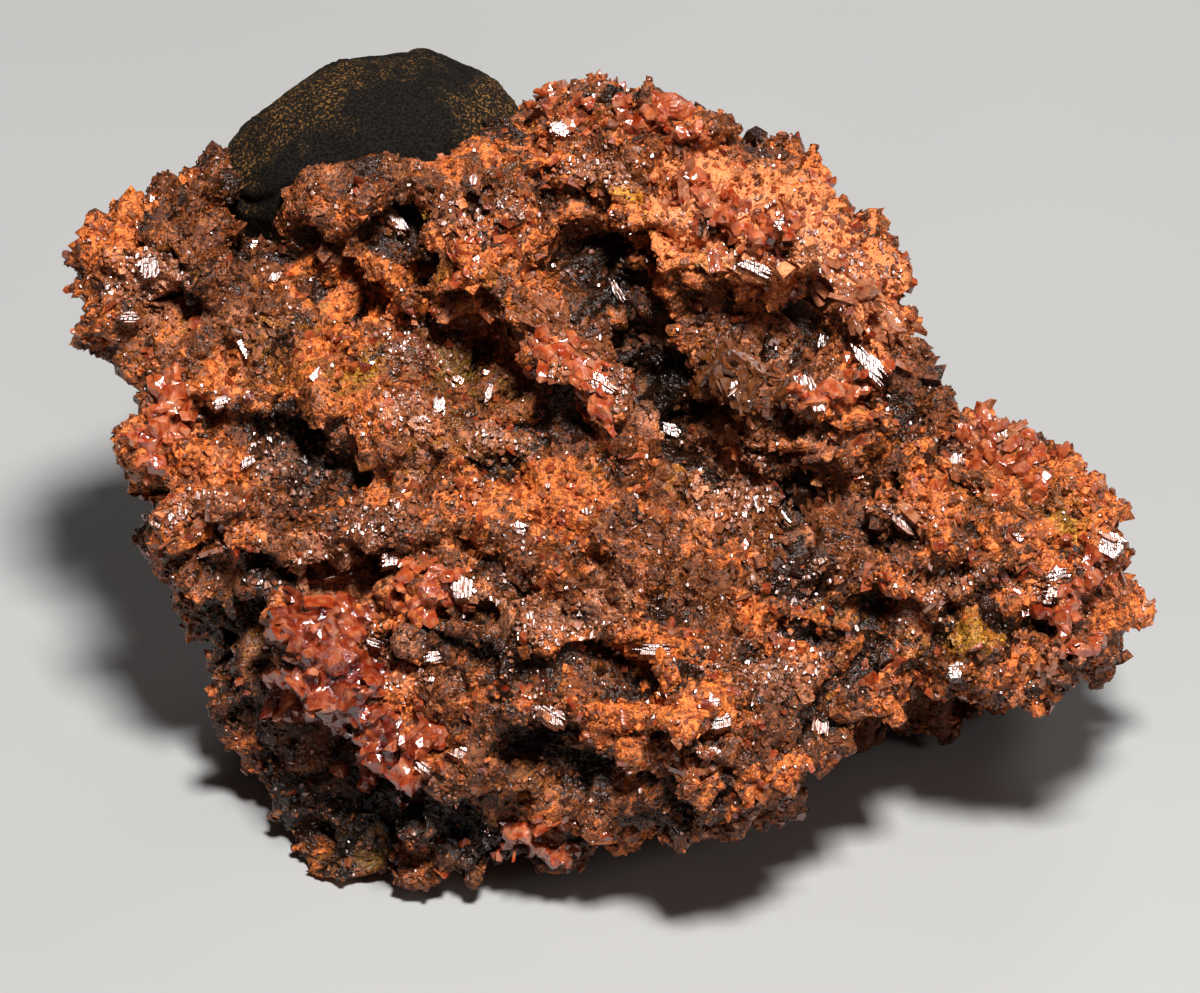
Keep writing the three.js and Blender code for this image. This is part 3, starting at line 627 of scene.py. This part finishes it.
def crystal_shapes(count):
    """A few four-sided prisms one unit long and wide, each with its own sloping end, foot at the origin."""
    shapes = []
    for _ in range(count):
        shape = bmesh.new()
        bmesh.ops.create_cone(shape, cap_ends=True, segments=4, radius1=0.5, radius2=0.5, depth=1.0,
                              matrix=Matrix.Translation((0, 0, 0.5)))
        slope = Vector((*rng.uniform(-0.6, 0.6, 2), 1)).normalized()
        everything = shape.verts[:] + shape.edges[:] + shape.faces[:]
        cut = bmesh.ops.bisect_plane(shape, geom=everything, plane_co=(0, 0, 0.86), plane_no=slope,
                                     clear_outer=True)
        rim = [edge for edge in cut["geom_cut"] if isinstance(edge, bmesh.types.BMEdge)]
        bmesh.ops.contextual_create(shape, geom=rim)
        bmesh.ops.recalc_face_normals(shape, faces=shape.faces)
        shapes.append(shape)
    return shapes


def turned(axes, spins):
    """Turns that take +Z to each axis, with a spin about it."""
    side = np.cross(axes, np.where(np.abs(axes[:, 2:]) < 0.9, (0.0, 0.0, 1.0), (1.0, 0.0, 0.0)))
    side /= np.linalg.norm(side, axis=1, keepdims=True)
    other = np.cross(axes, side)
    cos, sin = np.cos(spins)[:, None], np.sin(spins)[:, None]
    return np.stack([side * cos + other * sin, other * cos - side * sin, axes], axis=2)


def joined(name, shapes, picks, turns, sizes, places, values):
    """One mesh of many small copies. Values are painted on all the points of a copy."""
    points, loops, starts, kept_values = [], [], [], {key: [] for key in values}
    points_made = loops_made = 0
    for number, shape in enumerate(shapes):
        chosen = np.flatnonzero(picks == number)
        shape.verts.index_update()
        local = np.array([vert.co for vert in shape.verts])
        corners = np.concatenate([[vert.index for vert in face.verts] for face in shape.faces])
        begins = np.cumsum([0] + [len(face.verts) for face in shape.faces])[:-1]
        spread = np.einsum("kij,knj->kni", turns[chosen], local[None] * sizes[chosen][:, None, :])
        points.append((spread + places[chosen][:, None, :]).reshape(-1, 3))
        copies = np.arange(len(chosen))[:, None]
        loops.append((corners[None] + copies * len(local) + points_made).ravel())
        starts.append((begins[None] + copies * len(corners) + loops_made).ravel())
        for key, column_values in values.items():
            kept_values[key].append(np.repeat(column_values[chosen], len(local)))
        points_made += len(chosen) * len(local)
        loops_made += len(chosen) * len(corners)
    mesh = bpy.data.meshes.new(name)
    mesh.vertices.add(points_made)
    mesh.vertices.foreach_set("co", np.concatenate(points).astype(np.float32).ravel())
    mesh.loops.add(loops_made)
    mesh.loops.foreach_set("vertex_index", np.concatenate(loops).astype(np.int32))
    all_starts = np.concatenate(starts).astype(np.int32)
    mesh.polygons.add(len(all_starts))
    mesh.polygons.foreach_set("loop_start", all_starts)
    mesh.update(calc_edges=True)
    mesh.validate()
    for key, parts in kept_values.items():
        paint(mesh, key, np.concatenate(parts))
    mesh.shade_flat()
    return mesh


def crocoite_finish(tree, shader):
    tone = kept(tree, "tone")
    cloud = stepped(tree, speckle(tree, 0.4), 0.34, 0.66)
    deep = mixed(tree, tone, (0.07, 0.003, 0.001, 1), (0.56, 0.052, 0.006, 1))
    pale = mixed(tree, tone, (0.26, 0.014, 0.002, 1), (0.88, 0.230, 0.070, 1))
    colour = mixed(tree, cloud, deep, pale)
    # A pale pink veil in patches, stronger on the paler parts: a frosted look, partly painted sheen.
    sheen_veil = stepped(tree, speckle(tree, 0.5, shift=0.8), 0.52, 0.7)
    frosted = sums(tree, "MULTIPLY", sheen_veil, sums(tree, "ADD", sums(tree, "MULTIPLY", tone, 0.55), 0.25))
    colour = mixed(tree, frosted, colour, (0.84, 0.340, 0.180, 1))
    tree.links.new(colour, shader.inputs["Base Color"])
    worn = ranged(tree, speckle(tree, 0.25, shift=0.5), (0.35, 0.7), (0.08, 0.34))
    tree.links.new(worn, shader.inputs["Roughness"])
    roughen(tree, shader, speckle(tree, 0.2, shift=0.2), 0.6, 0.08)


crocoite = finish("crocoite", crocoite_finish, IOR=2.3, Transmission_Weight=0.35, Specular_IOR_Level=0.32)

# Crystals in a cluster, their lengths and widths in millimetres, the way that they lean on the face, and how
# pale they are.
CLUSTER_GROWTH = {
    "crocoite_front_ledge": (120, (1.0, 3.4), (0.4, 1.6), (-0.5, 0.1, 0.6), 0.05),
    "crocoite_left_edge": (34, (0.7, 1.7), (0.3, 1.0), (-0.3, 0.2, 0.8), 0.6),
    "crocoite_right_shoulder": (50, (0.6, 1.6), (0.3, 0.9), (0.3, 0.6, 0.3), 0.5),
    "crocoite_upper_blades": (40, (0.9, 2.2), (0.25, 0.7), (0.1, 0.3, 0.7), 0.55),
    "crocoite_right_end": (50, (0.6, 1.8), (0.25, 0.9), (0.4, 0.0, 0.6), 0.3),
    "crocoite_middle_ridge": (40, (0.6, 1.8), (0.25, 0.8), (0.2, -0.3, 0.7), 0.75),
    "crocoite_hollow_blades": (40, (0.6, 1.7), (0.25, 0.7), (0.2, 0.1, 0.8), 0.7),
    "crocoite_back_ridge": (46, (0.6, 1.4), (0.3, 0.9), (0.1, 0.5, 0.6), 0.5),
    "crocoite_lower_lip": (30, (0.6, 1.5), (0.3, 0.8), (0.0, -0.5, 0.5), 0.1),
    "crocoite_middle_knot": (36, (0.6, 1.6), (0.3, 1.0), (0.0, 0.3, 0.7), 0.65),
}
MASS_VOXEL = 0.1 * MM
MASS_CHIPS = ((0.4, 0.12, 83), (0.8, 0.22, 82))  # size, rise and salt, in millimetres
FACET_SHARE = 0.12  # of the faces that stay when the mass is made coarser, so that it breaks into flats
RELIEF_ROUNDS = 40
RELIEF_DEPTH = 0.8  # the height in millimetres from the deep red hollows to the pale edges
CLEAR_SIZE = (0.6, 0.6, 0.7)  # a clear crystal's share of the massive one that it tops
BURIED = 0.45  # the share of a crystal's length that is in the rock
FINE_STEPS = 20
SPREAD = 0.55  # of the crystals about the run, as a share of the pocket's reach
LEAN_SPREAD = 0.45
CRYSTALS = crystal_shapes(8)
surface = bmesh.new()
surface.from_mesh(rock_mesh)
rock_tree = BVHTree.FromBMesh(surface)
surface.free()


def unit(vectors):
    return vectors / np.linalg.norm(vectors, axis=1, keepdims=True)


for name, (run, reach) in CLUSTER_RUNS.items():
    count, lengths, widths, lean, paleness = CLUSTER_GROWTH[name]
    spots = along(run, FINE_STEPS)
    chosen = rng.integers(0, len(spots), count)
    offsets = rng.normal(0, reach * SPREAD, (count, 2))
    feet, normals = zip(*(rock_under(rock_tree, spots[k] + Vector(o)) for k, o in zip(chosen, offsets)))
    lean_way = np.array(FACE_TURN @ Vector(lean).normalized())
    axes = unit(lean_way + 0.5 * np.array(normals) + rng.normal(0, LEAN_SPREAD, (count, 3)))
    length = rng.uniform(*lengths, count) * (0.5 + 0.5 * rng.random(count)) * MM
    width = rng.uniform(*widths, count) * MM
    sizes = np.stack([width, width * rng.uniform(0.55, 0.95, count), length], axis=1)
    places = np.array(feet) - axes * (length * BURIED)[:, None]
    kinds = rng.integers(0, len(CRYSTALS), count)
    turns = turned(axes, rng.uniform(0, math.tau, count))
    tones = rng.random(count)
    grown = joined("mass", CRYSTALS, kinds, turns, sizes, places, {})
    mass = reshaped(grown, "REMESH", mode="VOXEL", voxel_size=MASS_VOXEL)
    face = on_face(column(mass.vertices, "co", 3))
    lift = np.zeros(len(face))
    for size, rise, salt in MASS_CHIPS:
        lift += rise * chips(face, size, salt)[0]
    raised(mass, evened(mass, lift, 1))
    mass = reshaped(mass, "DECIMATE", ratio=FACET_SHARE)
    face = on_face(column(mass.vertices, "co", 3))
    # Painted shade and highlight: the crystals are coloured darker in the mass's hollows and paler on its
    # raised edges, with a random tone besides.
    relief = face[:, 2] - evened(mass, face[:, 2], RELIEF_ROUNDS)
    tone = relief / RELIEF_DEPTH + 0.6 * (chips(face, 0.8, 82)[1] - 0.4)
    paint(mass, "tone", np.clip(paleness + (1 - paleness) * tone, 0, 1))
    mass.shade_flat()
    clear = slice(0, count // 3)  # the first third of the crystals
    tops = places[clear] + axes[clear] * (length[clear] * BURIED)[:, None]
    ends = joined("ends", CRYSTALS, kinds[clear], turns[clear], sizes[clear] * CLEAR_SIZE, tops,
                  {"tone": paleness + (1 - paleness) * tones[clear]})
    both = bmesh.new()
    both.from_mesh(mass)
    both.from_mesh(ends)
    mesh = bpy.data.meshes.new(name + "_crystals")
    both.to_mesh(mesh)
    both.free()
    mesh.validate()
    stand(name + "_crystals", mesh, crocoite, "crocoite", name)


# Crust of grains
# The rock's skin looks loose but has grown fast: angular grains of orange chromate, brown limonite and black
# oxide, most of them about a sixth of a millimetre across, heaped on the rock and in its hollows.
GRAIN_PIECES, GRAINS_EACH = 4, 13000
CLEAR_OF_GROUND = 0.45 * MM


def grain_shapes(count):
    """A few uneven angular grains about one unit across: broken octahedra and broken blocks in turn."""
    shapes = []
    for number in range(count):
        shape = bmesh.new()
        if number % 2:
            bmesh.ops.create_cube(shape, size=0.72)
        else:
            bmesh.ops.create_cone(shape, segments=4, radius1=0.5, radius2=0.0, depth=0.55,
                                  matrix=Matrix.Translation((0, 0, 0.25)))
            bmesh.ops.create_cone(shape, segments=4, radius1=0.0, radius2=0.5, depth=0.55,
                                  matrix=Matrix.Translation((0, 0, -0.25)))
            bmesh.ops.remove_doubles(shape, verts=shape.verts, dist=0.08)
        for vert in shape.verts:
            vert.co = vert.co * rng.uniform(0.7, 1.25) + Vector(rng.normal(0, 0.06, 3))
        bmesh.ops.recalc_face_normals(shape, faces=shape.faces)
        shapes.append(shape)
    return shapes


GRAINS = grain_shapes(24)
rock_mesh.update()
face_centre = column(rock_mesh.polygons, "center", 3).astype(np.float64)
face_normal = column(rock_mesh.polygons, "normal", 3).astype(np.float64)
face_area = column(rock_mesh.polygons, "area").astype(np.float64)
first_loop = column(rock_mesh.polygons, "loop_start").astype(np.int64)
corner_vertex = column(rock_mesh.loops, "vertex_index").astype(np.int64)
face_zones = {key: values[corner_vertex[first_loop]] for key, values in rock_zones.items()}
towards_view = smoothstep(face_normal @ np.array(FACE_OUT), -0.3, 0.3)


def scattered(count, weight):
    """Faces of the rock picked by area and weight, clear of the ground that it rests on."""
    chance = face_area * weight * (face_centre[:, 2] > CLEAR_OF_GROUND)
    return rng.choice(len(chance), count, p=chance / chance.sum())


def crust_piece(name, shapes, picks, sizes, axes, sunk, material, slot):
    """Small copies on the picked faces of the rock, each painted as the rock is under it."""
    count = len(picks)
    places = face_centre[picks] - axes * (sizes[:, 2] * sunk)[:, None]
    values = {key: zone[picks] for key, zone in face_zones.items()}
    values["tone"] = 0.5 * values["tone"] + 0.5 * rng.random(count)
    kinds = rng.integers(0, len(shapes), count)
    turns = turned(axes, rng.uniform(0, math.tau, count))
    mesh = joined(name, shapes, kinds, turns, sizes, places, values)
    settle(mesh, column(mesh.vertices, "co", 3))
    stand(name, mesh, material, slot)


for number in range(GRAIN_PIECES):
    picks = scattered(GRAINS_EACH, 0.5 + 0.5 * towards_view)
    across = np.clip(rng.lognormal(-1.78, 0.48, GRAINS_EACH), 0.08, 0.8) * MM
    sizes = across[:, None] * rng.uniform(0.6, 1.4, (GRAINS_EACH, 3))
    axes = unit(face_normal[picks] + rng.normal(0, 0.6, (GRAINS_EACH, 3)))
    crust_piece(f"crust_grains_{number + 1}", GRAINS, picks, sizes, axes, 0.0, crust_stone, "ironstone")


# Tabular crystals
# Larger crystals of the same lead chromate, flat and about a millimetre long. They grew in the orange patches
# of the crust and lie half buried in it.
count = 120
picks = scattered(count, smoothstep(face_zones["orange"], 0.1, 0.7) + 0.1)
length = rng.uniform(0.5, 1.2, count) * MM
width = length * rng.uniform(0.35, 0.7, count)
thickness = length * rng.uniform(0.2, 0.4, count)
sizes = np.stack([width, thickness, length], axis=1)
axes = unit(np.cross(face_normal[picks], rng.normal(0, 1, (count, 3))) + 0.6 * face_normal[picks])
crust_piece("tabular_crystals", CRYSTALS, picks, sizes, axes, 0.6, crocoite, "crocoite")


# Stained blades
# Fans of thin blades of the same lead chromate, stained brown by iron or frosted to a pinkish tan. They lie
# against the rock, each fan about one direction.

# Right and up of the face's middle, blades, direction and spread in degrees, longest in millimetres and tone.
FANS = (
    (5.0, 4.2, 60, 90, 45, 1.7, 0.15), (6.6, 3.6, 24, 60, 30, 1.3, 0.3),
    (9.0, 7.6, 26, -50, 18, 1.6, 0.8), (10.6, 6.2, 22, -55, 18, 1.5, 0.75),
    (3.3, 11.0, 20, 80, 20, 1.6, 0.9), (11.2, -0.9, 18, -35, 14, 1.4, 0.85),
    (6.2, -1.4, 12, -60, 16, 1.3, 0.25), (-0.4, 4.6, 24, -40, 14, 1.6, 0.85),
    (16.2, -6.3, 12, 60, 22, 1.0, 0.6), (12.0, -3.2, 18, 50, 26, 1.0, 0.45),
    (14.2, 2.2, 16, 20, 26, 1.2, 0.9), (-2.2, 6.8, 22, -38, 16, 1.4, 0.7),
    (-12.6, 9.0, 18, 30, 30, 1.2, 0.3), (-13.2, 5.6, 18, -60, 24, 1.2, 0.35),
    (4.4, -3.4, 20, 30, 30, 1.1, 0.3), (7.8, -0.4, 18, 100, 30, 1.2, 0.3),
    (-14.6, -0.6, 20, 40, 30, 1.3, 0.8), (2.8, -9.8, 18, 10, 22, 1.2, 0.8),
)


def stained_finish(tree, shader):
    tone = kept(tree, "tone")
    grain = stepped(tree, speckle(tree, 0.22), 0.34, 0.66)
    dark = mixed(tree, tone, (0.080, 0.020, 0.005, 1), (0.460, 0.110, 0.035, 1))
    light = mixed(tree, tone, (0.240, 0.070, 0.014, 1), (0.760, 0.300, 0.150, 1))
    tree.links.new(mixed(tree, grain, dark, light), shader.inputs["Base Color"])
    worn = ranged(tree, speckle(tree, 0.3, shift=0.5), (0.35, 0.65), (0.05, 0.3))
    tree.links.new(worn, shader.inputs["Roughness"])
    roughen(tree, shader, speckle(tree, 0.2, shift=0.2), 0.5, 0.06)


feet, axes, tones, lengths = [], [], [], []
for right, up, count, direction, spread, longest, tone in FANS:
    for _ in range(count):
        angle = math.radians(direction + rng.normal(0, spread))
        tilt = math.radians(rng.uniform(5, 35))
        spot = Vector((right, up)) + Vector(rng.normal(0, longest * 0.4, 2))
        foot, _ = rock_under(rock_tree, spot)
        feet.append(foot)
        level = math.cos(tilt)
        axes.append(FACE_TURN @ Vector((math.cos(angle) * level, math.sin(angle) * level, math.sin(tilt))))
        tones.append(np.clip(tone + rng.normal(0, 0.15), 0, 1))
        lengths.append(longest * rng.uniform(0.3, 0.85) * MM)
axes, lengths = np.array(axes), np.array(lengths)
count = len(lengths)
width = lengths * rng.uniform(0.22, 0.5, count)
sizes = np.stack([width, width * rng.uniform(0.4, 0.8, count), lengths], axis=1)
kinds = rng.integers(0, len(CRYSTALS), count)
turns = turned(axes, rng.uniform(0, math.tau, count))
places = np.array(feet) - axes * (lengths * 0.4)[:, None]
mesh = joined("stained_blades", CRYSTALS, kinds, turns, sizes, places, {"tone": np.array(tones)})
stained_crocoite = finish("stained_crocoite", stained_finish, IOR=2.1, Transmission_Weight=0.4,
                          Specular_IOR_Level=0.4)
stand("stained_blades", mesh, stained_crocoite, "crocoite")


# Small crystals of the crust
# The same lead chromate as the clusters, in stubby prisms under a millimetre or so long that stand singly all
# over the crust.
count = 2200
picks = scattered(count, smoothstep(face_zones["orange"], 0.2, 0.8) + 0.08)
width = rng.uniform(0.12, 0.4, count) * MM
length = width * rng.uniform(1.0, 2.4, count)
sizes = np.stack([width, width * rng.uniform(0.6, 1.0, count), length], axis=1)
axes = unit(face_normal[picks] + rng.normal(0, 0.7, (count, 3)))
crust_piece("crust_crystals", CRYSTALS, picks, sizes, axes, 0.5, crocoite, "crocoite")


# Cleavage plates
# Broken crystals show flat, bright cleavage faces in thin steps. Some lie at any angle in the crust. Those
# that flash in the view lie near the one angle that throws the key light to the camera.
KEY_AZIMUTH, KEY_ELEVATION = math.radians(15), math.radians(66)
KEY_WAY = Vector((math.sin(KEY_AZIMUTH) * math.cos(KEY_ELEVATION),
                  -math.cos(KEY_AZIMUTH) * math.cos(KEY_ELEVATION), math.sin(KEY_ELEVATION)))
KEY_DISTANCE, CAMERA_DISTANCE = 0.40, 0.35
# Right and up of the face's middle, length, width and turn in degrees of each flashing face, in millimetres.
FLASHES = (
    (-8.6, -7.0, 0.6, 0.5, 45), (-5.0, -3.4, 1.0, 0.7, 80), (4.1, 10.3, 1.3, 0.25, 88),
    (6.9, 9.9, 1.4, 0.5, 5), (5.6, 8.3, 1.3, 0.35, -25), (9.8, 4.8, 1.7, 0.6, -50),
    (7.7, 3.7, 1.8, 0.55, -63), (18.6, -1.8, 1.0, 0.8, -30), (16.6, -2.9, 0.8, 0.4, 10),
    (16.4, -3.6, 0.8, 0.6, 0), (-11.0, -6.5, 1.0, 0.3, 75), (-1.5, 13.5, 0.8, 0.6, 30),
    (-0.1, 4.1, 1.5, 0.6, -40), (-5.9, 3.2, 0.7, 0.5, 70), (-1.7, -8.0, 1.1, 0.5, -40),
    (8.0, -8.4, 0.9, 0.5, 80), (-7.4, -2.3, 1.8, 0.5, 14), (-9.2, -2.7, 1.4, 0.5, 14),
    (-16.6, 8.3, 0.9, 0.7, 30), (13.0, 1.2, 0.7, 0.5, 60), (1.9, -5.6, 1.3, 0.35, 0),
    (0.5, 5.8, 0.5, 0.4, 0), (-7.6, 10.3, 1.3, 0.4, -60), (-6.5, 8.3, 1.3, 0.4, 10),
    (-4.1, 3.7, 0.9, 0.2, 70), (11.1, -0.8, 1.1, 0.7, -40), (-12.0, 8.1, 0.6, 0.3, 60),
    (-17.3, 6.5, 0.8, 0.3, 0), (0.6, 7.6, 0.9, 0.25, -60), (2.6, 2.4, 0.8, 0.4, -20),
    (5.0, 3.9, 0.8, 0.5, 40), (8.2, 5.6, 0.6, 0.4, 80), (-8.3, -5.3, 0.8, 0.4, -20),
    (-6.1, -5.9, 1.0, 0.4, 8), (-9.8, -4.9, 0.7, 0.3, -35), (-5.0, -9.4, 0.8, 0.4, -25),
    (-7.4, -8.2, 0.5, 0.3, 60), (-6.4, -9.9, 0.6, 0.3, -40), (-9.2, -6.2, 0.5, 0.3, 70),
    (-12.9, 1.2, 0.6, 0.3, 40), (-13.9, 3.4, 0.7, 0.4, 20), (-3.0, -1.2, 0.7, 0.4, -20),
    (4.3, -8.1, 0.9, 0.5, 20), (12.9, -6.4, 0.6, 0.5, 0),
)
SLIVERS = 8


def plate_shapes(count, fewest):
    """A few thin plates one unit long and wide, with uneven outlines."""
    shapes = []
    for number in range(count):
        shape = bmesh.new()
        sides = fewest + number % 2
        bmesh.ops.create_cone(shape, cap_ends=True, segments=sides, radius1=0.55, radius2=0.5, depth=1.0)
        for corner in range(sides):
            reach = rng.uniform(0.55, 1.2)
            for vert in shape.verts[2 * corner:2 * corner + 2]:
                vert.co.xy *= reach
        shapes.append(shape)
    return shapes


def plate_finish(tree, shader):
    tint = mixed(tree, kept(tree, "tone"), (0.110, 0.024, 0.006, 1), (0.400, 0.115, 0.040, 1))
    tree.links.new(tint, shader.inputs["Base Color"])
    steps = add(tree, "ShaderNodeTexCoord").outputs["Object"]
    lines = add(tree, "ShaderNodeTexWave", {"Vector": steps, "Scale": 1 / (0.5 * MM), "Distortion": 6.0})
    worn = ranged(tree, speckle(tree, 0.2), (0.35, 0.65), (0.12, 0.52))
    tree.links.new(worn, shader.inputs["Roughness"])
    roughen(tree, shader, lines.outputs["Fac"], 0.35, 0.03)


cleavage = finish("crocoite_cleavage", plate_finish, IOR=2.0)


def plate_piece(name, shapes, picks, length, slimness, thickness, way, spread, rise):
    """Thin plates on the picked faces of the rock, each near its given way and a little proud of the rock."""
    count = len(picks)
    width = length * rng.uniform(*slimness, count)
    sizes = np.stack([length, width, np.full(count, thickness * MM)], axis=1)
    axes = unit(way + rng.normal(0, spread, (count, 3)))
    crust_piece(name, shapes, picks, sizes, axes, -rise, cleavage, "crocoite")


PLATES = plate_shapes(6, 4)
FLAKES = plate_shapes(6, 3)
count = 900
picks = scattered(count, 0.5 + face_zones["orange"] - 0.3 * face_zones["dark"])
length = rng.uniform(0.25, 0.65, count) * MM
plate_piece("cleavage_plates", PLATES, picks, length, (0.4, 0.9), 0.12, face_normal[picks], 0.45, 0.5)

HALF_WAY = np.array((FACE_OUT + KEY_WAY).normalized())
towards_key = face_normal @ HALF_WAY
count = 5000
gathered = smoothstep(clouds(on_face(face_centre), 1.1, 75), 0.4, 0.65)
picks = scattered(count, smoothstep(towards_key, 0.2, 0.8) * (0.12 + gathered + 2 * face_zones["frost"]))
length = rng.uniform(0.22, 0.5, count) ** 2 * MM
plate_piece("sparkling_plates", FLAKES, picks, length, (0.5, 1.0), 0.1, HALF_WAY, 0.22, 1.2)

count = 4200
picks = scattered(count, smoothstep(towards_key, 0.1, 0.7) * smoothstep(face_zones["frost"], 0.2, 0.7))
length = rng.uniform(0.3, 0.62, count) ** 2 * MM
way = 0.8 * HALF_WAY + 0.3 * face_normal[picks]
plate_piece("foil_flakes", FLAKES, picks, length, (0.4, 0.9), 0.1, way, 0.25, 0.8)

spots, sizes, turns = [], [], []
for right, up, length, width, turn in FLASHES:
    along_way = Vector((math.cos(math.radians(turn)), math.sin(math.radians(turn))))
    for number in range(SLIVERS + 1):
        whole = number == SLIVERS
        aside = 0.0 if whole else ((number + 0.5) / SLIVERS - 0.5) * width
        shift = 0.0 if whole else rng.uniform(-0.2, 0.2) * length
        spot = Vector((right, up)) + along_way * shift + Vector((-along_way.y, along_way.x)) * aside
        hit, _ = rock_under(rock_tree, Vector((right, up)))
        hit = hit + FACE_TURN @ (Vector((spot.x - right, spot.y - up, 0)) * MM)
        to_camera = (FACE_MIDDLE + FACE_OUT * CAMERA_DISTANCE - hit).normalized()
        to_key = (FACE_MIDDLE + KEY_WAY * KEY_DISTANCE - hit).normalized()
        axis = (to_camera + to_key).normalized() + Vector(rng.normal(0, 0.07, 3))
        axis.normalize()
        across = FACE_TURN @ Vector((*along_way, 0))
        across = (across - axis * across.dot(axis)).normalized()
        turns.append(np.array([across, axis.cross(across), axis]).T)
        if whole:
            sizes.append((length * 1.1, width * 1.2, 0.6))
        else:
            sizes.append((length * rng.uniform(0.5, 1.0), width / SLIVERS * rng.uniform(1.6, 2.8), 0.7))
        spots.append(hit - axis * rng.uniform(0.0, 0.12) * MM)
kinds = rng.integers(0, len(PLATES), len(spots))
mesh = joined("flashing_plates", PLATES, kinds, np.array(turns), np.array(sizes) * MM, np.array(spots),
              {"tone": rng.random(len(spots))})
stand("flashing_plates", mesh, cleavage, "crocoite")


# Floor, light and camera
# A plain pale floor under the specimen. A small strong light stands above and a little to the right in front,
# a weak one to the right and another behind, and the view is square on to the broad face.
FLOOR_SIZE = 3.0
FLOOR_DARKEST, FLOOR_PALEST = (0.37, 0.366, 0.358, 1), (0.40, 0.396, 0.388, 1)
floor_mesh = bpy.data.meshes.new("floor")
plane = bmesh.new()
bmesh.ops.create_grid(plane, x_segments=1, y_segments=1, size=FLOOR_SIZE / 2)
plane.to_mesh(floor_mesh)
plane.free()
floor = bpy.data.objects.new("floor", floor_mesh)
bpy.context.collection.objects.link(floor)


def floor_finish(tree, shader):
    tint = mixed(tree, stepped(tree, speckle(tree, 60), 0.3, 0.7), FLOOR_DARKEST, FLOOR_PALEST)
    tree.links.new(tint, shader.inputs["Base Color"])


floor_mesh.materials.append(finish("pale_floor", floor_finish, Roughness=0.9))


def lamp(name, way, distance, size, power):
    """A square soft light, aimed at the middle of the face."""
    data = bpy.data.lights.new(name, "AREA")
    data.size = size
    data.energy = power
    light = bpy.data.objects.new(name, data)
    bpy.context.collection.objects.link(light)
    light.location = FACE_MIDDLE + way.normalized() * distance
    light.rotation_euler = way.to_track_quat("Z", "Y").to_euler()


lamp("key_light", KEY_WAY, KEY_DISTANCE, 0.07, 2.9)
lamp("side_light", Vector((0.75, -0.45, 0.48)), 0.45, 0.12, 0.18)
lamp("back_light", Vector((0.25, 0.75, 0.6)), 0.45, 0.20, 0.3)
world = bpy.data.worlds.new("studio")
world.use_nodes = True
world.node_tree.nodes["Background"].inputs["Color"].default_value = (1.0, 0.97, 0.93, 1)
world.node_tree.nodes["Background"].inputs["Strength"].default_value = 0.03
bpy.context.scene.world = world
bpy.context.scene.view_settings.view_transform = "Standard"

PHOTO_WIDTH = 1200  # pixels
PIXEL = 0.0367 * MM  # what one of them shows of the face
camera_data = bpy.data.cameras.new("camera")
camera_data.sensor_width = 36
camera_data.lens = camera_data.sensor_width * CAMERA_DISTANCE / (PHOTO_WIDTH * PIXEL)
camera_data.clip_start = 0.01
camera = bpy.data.objects.new("camera", camera_data)
bpy.context.collection.objects.link(camera)
camera.location = FACE_MIDDLE + FACE_OUT * CAMERA_DISTANCE
camera.rotation_euler = FACE_OUT.to_track_quat("Z", "Y").to_euler()
bpy.context.scene.camera = camera
